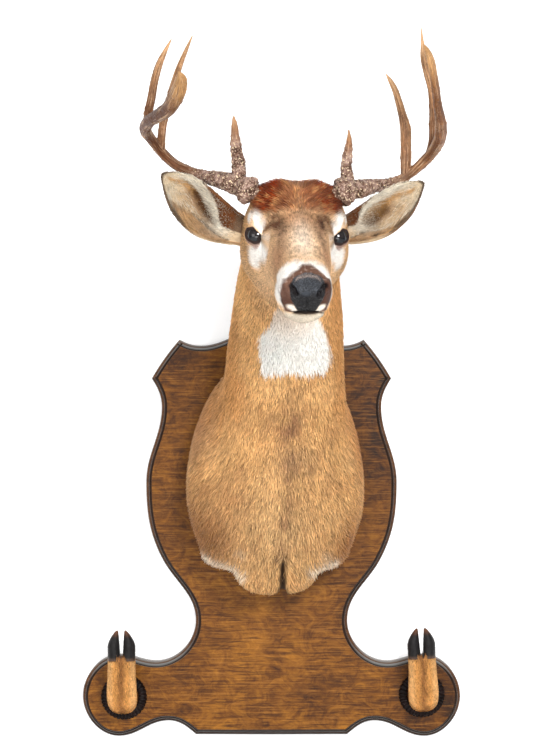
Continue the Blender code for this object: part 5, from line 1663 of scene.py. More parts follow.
def antler(side, mat):
    spec = ANTLERS[side]
    beam = np.array(spec["beam"], float)
    runs = [run_of(beam)] + [run_of(rooted(spec[k], beam))
                             for k in ("brow", "tine2", "tine3")]
    co, faces, n0 = [], [], 0
    m = 20
    for q in runs:
        p = q["p"]
        th = np.linspace(0, 2 * math.pi, m, endpoint=False)
        ring = (p[:, None, :3] + (q["a"][:, None] * np.cos(th)[None, :, None]
                                  + q["b"][:, None] * np.sin(th)[None, :, None])
                * (np.maximum(p[:, 3], 1.3) - 0.35)[:, None, None])
        k = len(p)
        co += [ring.reshape(-1, 3), p[:1, :3], p[-1:, :3]]
        faces += [grid_faces(k, m) + n0, cap_fan(0, m, k * m, True) + n0,
                  cap_fan((k - 1) * m, m, k * m + 1) + n0]
        n0 += k * m + 2
    rough = mesh("antler_rough_" + side, np.concatenate(co), faces)
    outward(rough)
    mod = rough.modifiers.new("union", 'REMESH')
    mod.mode = 'VOXEL'
    mod.voxel_size = 1.05 * MM
    dg = bpy.context.evaluated_depsgraph_get()
    me = bpy.data.meshes.new_from_object(rough.evaluated_get(dg))
    bpy.data.objects.remove(rough)
    nv = len(me.vertices)
    v = np.empty(nv * 3)
    me.vertices.foreach_get("co", v)
    v = v.reshape(-1, 3) / MM
    quads = np.empty(len(me.loops), int)
    me.loops.foreach_get("vertex_index", quads)
    quads = quads.reshape(-1, 4)
    # ease the forks into webs, then work the surface
    edges = np.concatenate([quads[:, [0, 1]], quads[:, [1, 2]],
                            quads[:, [2, 3]], quads[:, [3, 0]]])
    deg = np.bincount(edges.ravel(), minlength=nv)[:, None]
    for k in range(14):
        acc = np.zeros_like(v)
        for j in range(3):
            acc[:, j] = (np.bincount(edges[:, 0], v[edges[:, 1], j], nv)
                         + np.bincount(edges[:, 1], v[edges[:, 0], j], nv))
        amount = 0.5 if k % 2 == 0 else -0.47
        v = v + amount * (acc / deg - v)
    nrm = np.zeros_like(v)
    fn = np.cross(v[quads[:, 2]] - v[quads[:, 0]],
                  v[quads[:, 3]] - v[quads[:, 1]])
    for c in range(4):
        for j in range(3):
            nrm[:, j] += np.bincount(quads[:, c], fn[:, j], nv)
    nrm = unit(nrm)
    f = antler_fields(v, runs)
    sb = f["s"]
    is_beam, is_brow = f["run"] == 0, f["run"] == 1
    pearl = np.where(is_beam, 0.10 + 0.90 * (1 - smooth(sb, 70, 150)),
                     np.where(is_brow, 0.16 + 0.84 * (1 - smooth(
                         f["frac"], 0.35, 0.85)), 0.10
                         * (1 - smooth(f["frac"], 0.2, 0.8))))
    pearl = pearl * np.where(is_beam, smooth(sb, -6, 2), 1)
    # lengthwise grooves
    ang = f["ang"]
    g = np.stack([np.cos(ang) * 16, np.sin(ang) * 16,
                  sb * 0.11 + f["run"] * 40], -1)
    wave = fractal(g, 4.6, 71, 3)
    ridge = 1 - np.clip(np.abs(wave) * 2.6, 0, 1)
    fine = fractal(v, 3.2, 73, 2)
    groove = ridge * (1 - 0.75 * pearl)
    tip = smooth(f["frac"], 0.72, 0.98)
    groove = groove * (1 - 0.65 * tip)
    # pearls
    rng = np.random.default_rng(23 if side == "r" else 29)
    zone = np.flatnonzero(pearl > 0.03)
    seeds = rng.choice(zone, min(len(zone), 1900), replace=False,
                       p=pearl[zone] / pearl[zone].sum())
    size = rng.gamma(2.2, 0.45, len(seeds)) + 0.75
    size = np.clip(size, 0.8, 3.4)
    knob = np.zeros(nv)
    for a0 in range(0, len(zone), 6000):
        z = zone[a0:a0 + 6000]
        d = np.sqrt(np.maximum(
            np.sum(v[z] ** 2, 1)[:, None] + np.sum(v[seeds] ** 2, 1)[None]
            - 2 * v[z] @ v[seeds].T, 0)) / size[None]
        h = size[None] * np.sqrt(np.clip(1 - d ** 2, 0, None))
        knob[z] = h.max(1)
    burr = np.where(is_beam, np.exp(-((sb - 27) / 9.0) ** 2), 0)
    lift = (-0.75 * pearl + np.minimum(knob * 0.62, 2.0) * np.minimum(
        1.15 * pearl + 0.35, 1.0) - 0.85 * groove + 0.16 * fine
        + burr * 0.5 * wave)
    room = np.clip(f["r"] / 7.0, 0.25, 1.0)
    v = v + nrm * (lift * room)[:, None]
    # colour
    tones = ANTLER_TONES[side]
    xs = [a for a, _ in tones]
    base = np.stack([np.interp(sb, xs, [c[j] for _, c in tones])
                     for j in range(3)], -1)
    tine = np.stack([np.interp(f["frac"], (0, 0.35, 0.75, 1.0),
                               (c0, c1, c2, c3)) for c0, c1, c2, c3 in
                     ((0.30, 0.44, 0.62, 0.74), (0.165, 0.27, 0.42, 0.54),
                      (0.095, 0.155, 0.25, 0.33))], -1)
    brow = np.stack([np.interp(f["frac"], (0, 0.45, 0.8, 1.0),
                               (c0, c1, c2, c3)) for c0, c1, c2, c3 in
                     ((0.36, 0.40, 0.46, 0.62), (0.23, 0.25, 0.27, 0.42),
                      (0.18, 0.17, 0.145, 0.24))], -1)
    col = np.where(is_beam[:, None], base,
                   np.where(is_brow[:, None], brow, tine))
    end = np.where(is_beam, smooth(f["frac"], 0.80, 0.95), 0)
    col = mix(col, (0.62, 0.39, 0.17), end * 0.75)
    blotch = fractal(v, 26, 77, 2)
    shade = np.where(is_beam, 1 - smooth(f["frac"], 0.78, 0.95), 0.8)
    col = col * (1 - np.array((0.16, 0.25, 0.36)) * shade[:, None])
    if side == "r":
        col = col * (1 - np.array((0.22, 0.32, 0.42)) * np.where(
            is_beam, smooth(sb, 120, 200) * (1 - smooth(
                f["frac"], 0.72, 0.92)), 0)[:, None])
    col = col * (1 + 0.45 * blotch)[:, None]
    col = mix(col, (0.070, 0.026, 0.012), np.clip(
        groove * 0.95 - 0.12, 0, 1) * (1 - 0.5 * tip))
    streak = smooth(wave, 0.16, 0.42) * (1 - pearl) * smooth(
        noise(v, 14, 83), -0.35, 0.25)
    col = mix(col, (0.70, 0.53, 0.36), streak * 0.55)
    knobby = smooth(knob * np.minimum(pearl * 1.3 + 0.1, 1), 0.70, 1.45)
    col = mix(col, (0.180, 0.095, 0.075), pearl * (1 - knobby) * 0.8)
    hue = noise(v, 7, 79)[:, None]
    cream = np.array((0.66, 0.50, 0.38)) * (1 + 0.55 * hue)
    col = mix(col, cream, knobby * pearl * 0.5)
    col = mix(col, (0.42, 0.25, 0.19), np.where(
        is_beam, (1 - smooth(sb, 2, 9)), 0) * 0.9)
    col = col * np.array((0.76, 0.66, 0.58))
    col = np.clip(col * (1 + 0.10 * fine)[:, None], 0.006, 0.9)
    lie = np.stack([np.cos(ang) * 16, np.sin(ang) * 16,
                    sb * 0.13 + f["run"] * 40], -1)
    o = mesh("antler_%s" % side, v, [quads], mat=mat, lie=lie,
             col=np.concatenate([col, np.clip(pearl, 0, 1)[:, None]], 1))
    outward(o)
    bpy.data.meshes.remove(me)
    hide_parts(*["antler_%s_%s" % (side, k) for k in (
        "base", "beam", "beam_end", "brow_tine", "second_tine",
        "third_tine")])
    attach(o, "root")
    print("antler", side, len(quads) * 2, "triangles")
    return o


# ------------------------------------------------------------------ plaque --
OUTLINE = (
    ((0.0, 318.0), None, 0.0),             # crown, behind the neck
    ((64.0, 301.5), -22.0, -22.0),
    ((107.0, 290.5), 0.0, 0.0),            # dip of the top edge
    ((140.2, 299.6), 30.0, -49.0),         # top corner
    ((182.4, 240.4), -60.0, -122.0),       # shoulder
    ((167.2, 197.0), -90.0, -90.0),        # waist
    ((190.8, 82.5), -90.0, -90.0),         # belly
    ((165.5, -35.5), -118.0, -118.0),
    ((115.4, -128.0), -90.0, -90.0),       # narrow
    ((176.0, -190.0), 0.0, 0.0),           # notch
    ((229.0, -180.0), 2.0, 2.0),           # lobe top
    ((287.3, -243.0), -90.0, -90.0),       # lobe side
    ((229.0, -304.0), 176.0, 176.0),       # lobe foot
    ((157.0, -280.5), 180.0, 180.0),       # under scoop
    ((115.0, -301.5), -140.0, 180.0),      # foot corner
    ((0.0, -301.8), 180.0, None),
)


def outline_half(steps=6):
    pts = []
    for (p0, _, out), (p1, inn, _) in zip(OUTLINE[:-1], OUTLINE[1:]):
        p0, p1 = np.array(p0), np.array(p1)
        run = np.linalg.norm(p1 - p0)
        t0 = run * 1.12 * np.array((math.cos(math.radians(out)),
                                    math.sin(math.radians(out))))
        t1 = run * 1.12 * np.array((math.cos(math.radians(inn)),
                                    math.sin(math.radians(inn))))
        turn = abs((inn - out + 180) % 360 - 180)
        k = max(2, int(round(steps * min(1.0, run / 90.0 + turn / 120.0))))
        for t in np.linspace(0, 1, k, endpoint=False):
            pts.append((2 * t**3 - 3 * t**2 + 1) * p0
                       + (t**3 - 2 * t**2 + t) * t0
                       + (3 * t**2 - 2 * t**3) * p1 + (t**3 - t**2) * t1)
    pts.append(np.array(OUTLINE[-1][0]))
    return np.array(pts)


def inset(loop, by):
    """The closed loop moved inward by a distance, corners kept sharp."""
    e = np.roll(loop, -1, 0) - loop
    e = e / np.linalg.norm(e, axis=1, keepdims=True)
    n1 = np.stack([e[:, 1], -e[:, 0]], -1)          # right of the heading
    n0 = np.roll(n1, 1, 0)
    m = n0 + n1
    m = m / np.maximum(1 + np.sum(n0 * n1, 1, keepdims=True), 0.25)
    area = np.sum(loop[:, 0] * np.roll(loop[:, 1], -1)
                  - np.roll(loop[:, 0], -1) * loop[:, 1])
    return loop + m * (by if area < 0 else -by)


BOARD_EDGE = ((0.0, 0.0), (0.0, 11.6), (0.35, 12.8), (1.1, 14.2),
              (2.2, 15.3), (3.4, 15.9), (3.7, 16.0), (3.8, 17.0),
              (4.4, 18.6), (5.4, 20.2), (6.6, 21.3), (7.6, 21.75),
              (7.9, 21.3), (8.5, 21.3), (8.8, 22.0))


def plaque(mat):
    half = outline_half(44)
    loop = np.concatenate([half, half[1:-1][::-1] * (-1, 1)])
    rings = []
    for by, out in BOARD_EDGE:
        q = inset(loop, by)
        rings.append(np.stack([q[:, 0], np.full(len(q), -out), q[:, 1]], -1))
    grid = np.array(rings)
    rows, cols = grid.shape[:2]
    flat = [np.array(tessellate_polygon([[Vector(p) for p in q]]))
            for q in (grid[0][:, [0, 2, 1]], grid[-1][:, [0, 2, 1]])]
    faces = [grid_faces(rows, cols), flat[0],
             flat[1] + (rows - 1) * cols]
    o = mesh("shield_plaque", grid.reshape(-1, 3), faces, mat=mat)
    outward(o)
    o.data.set_sharp_from_angle(angle=math.radians(32))
    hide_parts("plaque")
    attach(o, "root")
    return o


# -------------------------------------------------------------------- feet --
SHANK = ((28.5, -1.0, 20.0, 18.0), (44.0, -2.0, 21.0, 19.5),
         (57.0, -1.0, 22.3, 20.5), (66.0, 3.0, 22.8, 21.0),
         (73.0, 11.0, 22.9, 20.0))
PASTERN = ((73.0, 11.0, 22.9, 20.0), (76.5, 22.0, 22.6, 18.5),
           (78.0, 34.0, 22.0, 16.8), (78.5, 48.0, 21.4, 15.8),
           (78.0, 61.5, 21.2, 15.6))
HOOF_Z0, HOOF_H = 62.1, 46.0
TRIM_HOLE, TRIM_R, TRIM_T = 22.0, 35.0, 6.0
FOOT_COAT = 1.5


def foot_put(k, p):
    """Points of foot k (across, -out, up) in the shared frame."""
    c, s = math.cos(FOOT_LEAN[k]), math.sin(FOOT_LEAN[k])
    q = np.array(p, float)
    x, z = q[..., 0].copy(), q[..., 2].copy()
    q[..., 0] = c * x + s * z + FOOT_X[k]
    q[..., 2] = -s * x + c * z + FOOT_Z[k]
    return q


def foot_grid(rows=84, cols=72):
    keys = np.array(SHANK + PASTERN[1:], float)
    keys[0, 0] = BOARD_T + GAP
    run = np.concatenate([[0], np.cumsum(
        np.hypot(*np.diff(keys[:, :2], axis=0).T))])
    at = np.linspace(0, run[-1], rows)
    p = catmull(run, keys, at)
    q = catmull(run, keys, np.clip(at + 0.5, 0, run[-1])) \
        - catmull(run, keys, np.clip(at - 0.5, 0, run[-1]))
    t = unit(q[:, :2])
    a = np.linspace(0, 2 * math.pi, cols, endpoint=False)
    ca, sa = np.cos(a), np.sin(a)
    box = 2.3
    w = (p[:, 2] - FOOT_COAT)[:, None]
    h = (p[:, 3] - FOOT_COAT)[:, None]
    x = w * np.sign(ca) * np.abs(ca) ** (2 / box)
    y = h * np.sign(sa) * np.abs(sa) ** (2 / box)
    # the cleft down the front and a dent behind, between the toes
    up = p[:, 1][:, None]
    cleft = np.exp(-(x / 2.6) ** 2) * smooth(up, 26, 46)
    y = y - np.sign(sa)[None] * 2.8 * cleft * (np.abs(sa)[None] > 0.5)
    nrm = np.stack([t[:, 1], -t[:, 0]], -1)
    g = np.stack([x, -(p[:, 0][:, None] + nrm[:, :1] * y),
                  p[:, 1][:, None] + nrm[:, 1:] * y], -1)
    return g, at, a


def foot_colour(g, at, a):
    """Tan, with a brown streak down the middle of the front."""
    s = np.broadcast_to(at[:, None], g.shape[:2])
    x = g[..., 0]
    front = smooth(np.broadcast_to(np.sin(a)[None], s.shape), -0.1, 0.5)
    c = np.zeros((*s.shape, 3)) + (0.66, 0.32, 0.092)
    n = fractal(g.reshape(-1, 3), 12, 91).reshape(s.shape)
    n2 = fractal(g.reshape(-1, 3) * (1, 0.4, 0.4), 4, 92).reshape(s.shape)
    c = mix(c, (0.24, 0.095, 0.030), np.exp(-((x + 4 * n) / 6.5) ** 2)
            * front * 0.85)
    c = mix(c, (0.72, 0.46, 0.22), smooth(np.abs(x), 9, 17) * 0.45)
    c = mix(c, (0.42, 0.19, 0.065), (1 - front) * 0.6)
    c = mix(c, (0.30, 0.13, 0.05), smooth(s, s.max() - 9, s.max()) * 0.7)
    return np.clip(c * (1 + 0.22 * n + 0.16 * n2)[..., None], 0.01, 0.9)


def foot_hair(k, side, skin_mat, coat_mat):
    g, at, a = foot_grid()
    col = foot_colour(g, at, a)
    rows, cols = g.shape[:2]
    co = foot_put(k, g)
    n = rows * cols
    pts = np.concatenate([co.reshape(-1, 3), [co[0].mean(0), co[-1].mean(0)]])
    c = np.concatenate([col.reshape(-1, 3), [col[0].mean(0),
                                             col[-1].mean(0)]])
    o = mesh("foot_skin_%s" % side, pts,
             [grid_faces(rows, cols), cap_fan(0, cols, n, flip=True),
              cap_fan((rows - 1) * cols, cols, n + 1)], col=c, mat=skin_mat)
    outward(o)
    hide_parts("foot_shank_%s" % side, "foot_pastern_%s" % side)
    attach(o, "root")
    sh = Sheet(co, True, co - co.mean(1, keepdims=True))
    i, j = sh.roots(1.45 * (1.0))
    p, nr = sh.at(sh.p, i, j), unit(sh.at(sh.n, i, j))
    cc = np.clip(sh.at(col, i, j) * hair_tones(len(p), 0.14, 0.14)[:, None],
                 0.01, 0.9)
    s = np.interp(i, np.arange(rows), at)
    d = -p[:, 1]
    flow = unit(sh.at(sh.u, i, j)) + sh.at(sh.v, i, j) * RNG.normal(
        0, 0.16, len(p))[:, None]
    size = 6.5 * RNG.uniform(0.7, 1.3, len(p)) * (1 + 0.45 * smooth(
        s, at[-1] - 14, at[-1]))
    coat = Coat()
    coat.add(p, nr, flow, size, 1.0 * RNG.uniform(0.75, 1.3, len(p)),
             0.95 * RNG.uniform(0.6, 1.2, len(p)), cc,
             np.stack([0.02 + 0.96 * j / cols, 0.02 + 0.96 * s / at[-1]], -1),
             curl=RNG.normal(0, 0.10, len(p)))
    coat.build("coat_foot_%s" % side, coat_mat)


def hooves(k, side, mat):
    for lab, sg in (("inner", 1 if k == 0 else -1),
                    ("outer", -1 if k == 0 else 1)):
        ts = np.concatenate([np.linspace(0, 0.9, 30), np.linspace(
            0.9, 1.0, 9)[1:]])
        a = np.linspace(0, 2 * math.pi, 48, endpoint=False)
        rings = []
        for t in ts:
            half = 10.1 * (1 - 0.04 * t - 0.80 * max(0.0, t - 0.42) ** 1.7
                           / 0.40)
            deep = 15.0 * (1 - 0.16 * t - 0.62 * max(0.0, t - 0.35) ** 1.5
                           / 0.52)
            half, deep = max(half, 1.6), max(deep, 2.4)
            cx = sg * (10.1 + 0.35 + (half - 10.1) * 0.8 + 2.2 * t)
            cd = 78.0 + 3.0 * t + (15.0 - deep) * 0.55
            end = math.sqrt(max(0.0, 1 - max(0.0, (t - 0.93) / 0.07) ** 2))
            half, deep = half * (0.25 + 0.75 * end), deep * (
                0.35 + 0.65 * end)
            ridge = 0.10 * math.sin(t * 95) + 0.08 * math.sin(t * 41 + 1)
            h, dp = half + ridge - 0.1, deep + ridge - 0.1
            # the inner wall is flatter than the outer
            x = h * np.cos(a)
            x = np.where(x * sg < 0, np.sign(x) * np.minimum(
                np.abs(x), h * 0.86), x)
            y = dp * np.sign(np.sin(a)) * np.abs(np.sin(a)) ** 0.92
            rings.append(np.stack([cx + x, -(cd + y),
                                   np.full(48, HOOF_Z0 + HOOF_H * t)], -1))
        g = np.array(rings)
        rows, cols = g.shape[:2]
        co = foot_put(k, g)
        t2 = np.repeat(ts[:, None], cols, 1)
        n = fractal(g.reshape(-1, 3), 9, 95).reshape(t2.shape)
        c = np.zeros((rows, cols, 3)) + (0.012, 0.011, 0.011)
        c = mix(c, (0.115, 0.045, 0.022), smooth(t2, 0.72, 0.98) * 0.8)
        c = mix(c, (0.085, 0.050, 0.032), (1 - smooth(t2, 0.0, 0.14)) * 0.8)
        band = 0.5 + 0.5 * np.sin(t2 * 95)
        c = np.clip(c * (1 + 0.5 * n + 0.2 * band)[..., None], 0.006, 0.5)
        m = rows * cols
        pts = np.concatenate([co.reshape(-1, 3), [co[0].mean(0),
                                                  co[-1].mean(0)]])
        cols_all = np.concatenate([c.reshape(-1, 3), c[0, :1], c[-1, :1]])
        o = mesh("hoof_%s_%s_horn" % (side, lab), pts,
                 [grid_faces(rows, cols), cap_fan(0, cols, m, flip=True),
                  cap_fan((rows - 1) * cols, cols, m + 1)], col=cols_all,
                 mat=mat)
        outward(o)
        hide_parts("hoof_%s_%s" % (side, lab))
        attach(o, "root")
        # dewclaw
        t = np.linspace(0, 1, 16)
        b = np.linspace(0, 2 * math.pi, 28, endpoint=False)
        r = (5.5 + (2.2 - 5.5) * t) * np.sqrt(np.clip(1 - np.clip(
            (t - 0.8) / 0.2, 0, 1) ** 2 * 0.85, 0.02, 1))
        q = np.stack([r[:, None] * np.cos(b)[None] * 0.98,
                      r[:, None] * np.sin(b)[None] * 0.98,
                      np.repeat((t * 15 - 7.5)[:, None], 28, 1)], -1)
        m1 = Matrix.Translation((sg * 10.5, -56.5, 33.5)) \
            @ Matrix.Rotation(math.radians(-sg * 10), 4, 'Y') \
            @ Matrix.Rotation(math.radians(-24), 4, 'X')
        m1 = np.array(m1)
        q = q @ m1[:3, :3].T + m1[:3, 3]
        co = foot_put(k, q)
        m = 16 * 28
        n = fractal(q.reshape(-1, 3), 4, 97)
        c = np.tile(np.array((0.035, 0.030, 0.028)), (m, 1)) \
            * (1 + 0.5 * n)[:, None]
        pts = np.concatenate([co.reshape(-1, 3), [co[0].mean(0),
                                                  co[-1].mean(0)]])
        o = mesh("dewclaw_%s_%s_horn" % (side, lab), pts,
                 [grid_faces(16, 28), cap_fan(0, 28, m, flip=True),
                  cap_fan(15 * 28, 28, m + 1)],
                 col=np.concatenate([c, c[:1], c[-1:]]), mat=mat)
        outward(o)
        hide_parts("dewclaw_%s_%s" % (side, lab))
        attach(o, "root")


PLEATS = 36


def rosette(k, side, mat):
    """A ring of pleated leather round the shank."""
    cols = PLEATS * 10
    a = np.linspace(0, 2 * math.pi, cols, endpoint=False)
    wob = 0.35 * np.sin(a * 5 + 1 + k) + 0.3 * np.sin(a * 7 + 2.2)
    fold = np.abs(np.sin(a * PLEATS / 2 + wob)) ** 0.8
    rows = []
    for r, h, w in ((TRIM_HOLE + 0.4, 0.0, 0.0), (TRIM_R - 1.0, 0.0, 0.0),
                    (TRIM_R - 0.1, 0.8, 1.0), (TRIM_R, 1.8, 1.0),
                    (TRIM_R - 1.2, 3.4, 0.9), (TRIM_R - 3.2, 4.7, 0.85),
                    (TRIM_R - 6.0, 5.7, 0.8), (TRIM_R - 9.0, 6.0, 0.7),
                    (TRIM_HOLE + 2.0, 5.6, 0.5), (TRIM_HOLE + 0.4, 4.6, 0.3)):
        rr = r - (1 - fold) * 1.1 * (w if h > 0 else 0)
        hh = np.maximum(h - (1 - fold) * 2.1 * w, 0.15 if h > 0 else 0.0)
        if h == 0:
            hh = hh * 0
        rows.append(np.stack([rr * np.cos(a), -(BOARD_T + GAP + hh),
                              rr * np.sin(a)], -1))
    g = np.array(rows)
    co = foot_put(k, g)
    f = grid_faces(len(rows), cols)
    last = (len(rows) - 1) * cols
    j = np.arange(cols)
    j1 = (j + 1) % cols
    close = np.stack([last + j, last + j1, j1, j], -1)
    o = mesh("rosette_%s_leather" % side, co.reshape(-1, 3), [f, close],
             mat=mat)
    outward(o)
    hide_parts("rosette_%s" % side)
    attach(o, "root")


# --------------------------------------------------------------- materials --
def hide_material(name, rough=0.72, sheen=0.03, bump=0.35):
    m = Mat(name, Roughness=rough)
    m.b.inputs["Specular IOR Level"].default_value = 0.06
    m.b.inputs["Sheen Weight"].default_value = sheen
    m.b.inputs["Sheen Roughness"].default_value = 0.5
    vec = m.place()
    fine = m.noise(vec, 900.0, 3.0, 0.6)
    wide = m.noise(vec, 120.0, 3.0, 0.55)
    tone = m.math('ADD', m.range(fine, 0.3, 0.7, -0.14, 0.14),
                  m.range(wide, 0.3, 0.7, 0.92, 1.08))
    col = m.node("ShaderNodeVectorMath", operation='SCALE')
    m.link(m.attribute(), col.inputs[0])
    m.link(tone, col.inputs["Scale"])
    m.set("Base Color", col.outputs[0])
    m.set("Normal", m.bump(fine, bump, 0.0006))
    return m


M_SKIN = hide_material("hide_hair")
M_EAR = hide_material("ear_hide", 0.70)
M_FOOT = hide_material("foot_hide", 0.70)
M_COAT = hide_material("coat_hair", 0.58, 0.03, 0.15)

# bare, pebbled skin of the nose
M_PAD = Mat("nose_skin", Roughness=0.30)
M_PAD.b.inputs["Specular IOR Level"].default_value = 0.19
_v = M_PAD.place()
_n = M_PAD.voronoi(_v, 620.0)
_w = M_PAD.noise(_v, 160.0, 3.0)
M_PAD.set("Base Color", M_PAD.blend(M_PAD.range(_n, 0.25, 0.75, 0.75, 0.0),
                                    M_PAD.attribute(),
                                    (0.004, 0.003, 0.003)))
M_PAD.set("Roughness", M_PAD.range(_w, 0.3, 0.7, 0.24, 0.46))
M_PAD.set("Normal", M_PAD.bump(_n, 0.9, 0.0012))

M_GLASS = Mat("dark_glass", Roughness=0.03)
M_GLASS.b.inputs["Specular IOR Level"].default_value = 0.42
_v = M_GLASS.place()
_n = M_GLASS.noise(_v, 700.0, 3.0)
M_GLASS.set("Base Color", M_GLASS.blend(
    M_GLASS.range(_n, 0.3, 0.7, 0.0, 0.5), M_GLASS.attribute(),
    (0.010, 0.012, 0.016)))

M_ANTLER = Mat("antler_bone", Roughness=0.45)
M_ANTLER.b.inputs["Specular IOR Level"].default_value = 0.16
_v = M_ANTLER.place()
_n = M_ANTLER.noise(_v, 1100.0, 4.0, 0.6)
_w = M_ANTLER.noise(_v, 180.0, 4.0, 0.6)
_c = M_ANTLER.node("ShaderNodeVertexColor", layer_name="Col")
_s = M_ANTLER.node("ShaderNodeVectorMath", operation='SCALE')
M_ANTLER.link(_c.outputs["Color"], _s.inputs[0])
M_ANTLER.link(M_ANTLER.math('ADD', M_ANTLER.range(_n, 0.3, 0.7, -0.12, 0.12),
                            M_ANTLER.range(_w, 0.3, 0.7, 0.82, 1.18)),
              _s.inputs["Scale"])
_lie = M_ANTLER.node("ShaderNodeAttribute", attribute_name="lie") \
    .outputs["Vector"]
_line = M_ANTLER.noise(_lie, 0.62, 4.0, 0.65, 0.3)
_line2 = M_ANTLER.noise(_lie, 0.26, 3.0, 0.5, 0.3)
_dark = M_ANTLER.math('MULTIPLY', M_ANTLER.range(_line, 0.50, 0.36, 0.0, 0.85),
                      M_ANTLER.range(_c.outputs["Alpha"], 0.1, 0.8, 1.0, 0.3))
_bone = M_ANTLER.blend(_dark, _s.outputs[0], (0.060, 0.024, 0.011))
_bone = M_ANTLER.blend(M_ANTLER.range(_line2, 0.56, 0.70, 0.0, 0.45), _bone,
                       (0.60, 0.42, 0.26))
_warp = M_ANTLER.node("ShaderNodeVectorMath", operation='MULTIPLY_ADD')
_wv = M_ANTLER.node("ShaderNodeTexNoise")
_wv.inputs["Scale"].default_value = 260.0
M_ANTLER.link(_v, _wv.inputs["Vector"])
M_ANTLER.link(_wv.outputs["Color"], _warp.inputs[0])
_warp.inputs[1].default_value = (0.0022, 0.0022, 0.0022)
M_ANTLER.link(_v, _warp.inputs[2])
_cell = M_ANTLER.voronoi(_warp.outputs[0], 400.0)
_pearl = M_ANTLER.range(_cell, 0.34, 0.54, 1.0, 0.0)
_tint = M_ANTLER.ramp(_wv.outputs["Fac"], (0.34, (0.13, 0.062, 0.040)),
                      (0.48, (0.30, 0.185, 0.135)),
                      (0.56, (0.56, 0.41, 0.31)), (0.66, (0.95, 0.76, 0.48)))
_hollow = M_ANTLER.ramp(M_ANTLER.noise(_v, 95.0, 4.0, 0.6, 0.4),
                        (0.38, (0.030, 0.012, 0.007)),
                        (0.50, (0.120, 0.062, 0.044)),
                        (0.60, (0.330, 0.222, 0.180)))
_rough = M_ANTLER.blend(_pearl, _hollow, _tint)
_mask = M_ANTLER.range(_c.outputs["Alpha"], 0.18, 0.75, 0.0, 0.92)
M_ANTLER.set("Base Color", M_ANTLER.blend(_mask, _bone, _rough))
M_ANTLER.set("Roughness", M_ANTLER.range(_w, 0.3, 0.7, 0.34, 0.58))
_b1 = M_ANTLER.bump(M_ANTLER.math('MULTIPLY', _pearl, _mask), 0.8, 0.0011)
_b2 = M_ANTLER.bump(_line, 0.35, 0.0010, _b1)
M_ANTLER.set("Normal", M_ANTLER.bump(_n, 0.35, 0.0005, _b2))

M_HORN = Mat("hoof_horn", Roughness=0.35)
M_HORN.b.inputs["Specular IOR Level"].default_value = 0.09
_v = M_HORN.place(scale=(1, 1, 0.35))
_n = M_HORN.noise(_v, 600.0, 4.0, 0.6)
_s = M_HORN.node("ShaderNodeVectorMath", operation='SCALE')
M_HORN.link(M_HORN.attribute(), _s.inputs[0])
M_HORN.link(M_HORN.range(_n, 0.3, 0.7, 0.75, 1.3), _s.inputs["Scale"])
M_HORN.set("Base Color", _s.outputs[0])
M_HORN.set("Roughness", M_HORN.range(_n, 0.3, 0.7, 0.28, 0.48))
M_HORN.set("Normal", M_HORN.bump(_n, 0.3, 0.0006))

M_LEATHER = Mat("black_leather", Roughness=0.38)
M_LEATHER.b.inputs["Specular IOR Level"].default_value = 0.12
_v = M_LEATHER.place()
_n = M_LEATHER.voronoi(_v, 700.0)
_w = M_LEATHER.noise(_v, 90.0, 3.0)
M_LEATHER.set("Base Color", M_LEATHER.ramp(
    _w, (0.35, (0.004, 0.002, 0.0015)), (0.65, (0.012, 0.005, 0.004))))
M_LEATHER.set("Roughness", M_LEATHER.range(_w, 0.3, 0.7, 0.28, 0.45))
M_LEATHER.set("Normal", M_LEATHER.bump(_n, 0.35, 0.0006))

# dark stained wood, the moulded edge nearly black
M_WOOD = Mat("stained_wood_satin", Roughness=0.32)
_obj = M_WOOD.node("ShaderNodeTexCoord").outputs["Object"]
_xyz = M_WOOD.node("ShaderNodeSeparateXYZ")
M_WOOD.link(_obj, _xyz.inputs[0])
_g = M_WOOD.place(scale=(10, 10, 150))
_grain = M_WOOD.noise(_g, 1.0, 6.0, 0.62, 0.6)
_g2 = M_WOOD.place(scale=(28, 28, 620))
_pore = M_WOOD.noise(_g2, 1.0, 4.0, 0.6)
_big = M_WOOD.noise(_obj, 9.0, 4.0, 0.6, 0.5)
_mott = M_WOOD.noise(M_WOOD.place(scale=(34, 34, 46)), 1.0, 7.0, 0.78,
                     1.6)
_low = M_WOOD.range(_xyz.outputs["Z"], -0.31, 0.30, 1.0, 0.0)
_right = M_WOOD.range(_xyz.outputs["X"], 0.05, 0.28, 0.0, 0.13)
_fac = M_WOOD.math('ADD', M_WOOD.math('MULTIPLY', _low, 0.11),
                   M_WOOD.math('MULTIPLY', _big, 0.42))
_fac = M_WOOD.math('ADD', _fac, M_WOOD.math('MULTIPLY', _mott, 0.66))
_fac = M_WOOD.math('SUBTRACT', _fac, _right)
_fac = M_WOOD.math('ADD', _fac, M_WOOD.math('MULTIPLY', _grain, 0.20))
_wood = M_WOOD.ramp(
    _fac, (0.46, (0.010, 0.003, 0.0003)), (0.55, (0.034, 0.010, 0.0007)),
    (0.62, (0.080, 0.025, 0.0014)), (0.70, (0.135, 0.045, 0.003)),
    (0.84, (0.265, 0.100, 0.008)))
_wood = M_WOOD.blend(M_WOOD.range(_pore, 0.52, 0.66, 0.0, 0.75), _wood,
                     (0.024, 0.008, 0.002))
_wood = M_WOOD.blend(M_WOOD.range(_pore, 0.44, 0.34, 0.0, 0.35), _wood,
                     (0.360, 0.150, 0.025))
_face = M_WOOD.math('LESS_THAN', _xyz.outputs["Y"], -0.02195)
_in = M_WOOD.range(_xyz.outputs["Y"], -0.0165, -0.0205, 1.0, 0.12)
_edge = M_WOOD.blend(_in, (0.010, 0.005, 0.003), M_WOOD.ramp(
    _grain, (0.3, (0.036, 0.015, 0.007)), (0.7, (0.120, 0.053, 0.024))))
# painted shade and highlight: the moulded edge darkened where it faces down and
# lightened to grey where it faces up
_nz = M_WOOD.node("ShaderNodeSeparateXYZ")
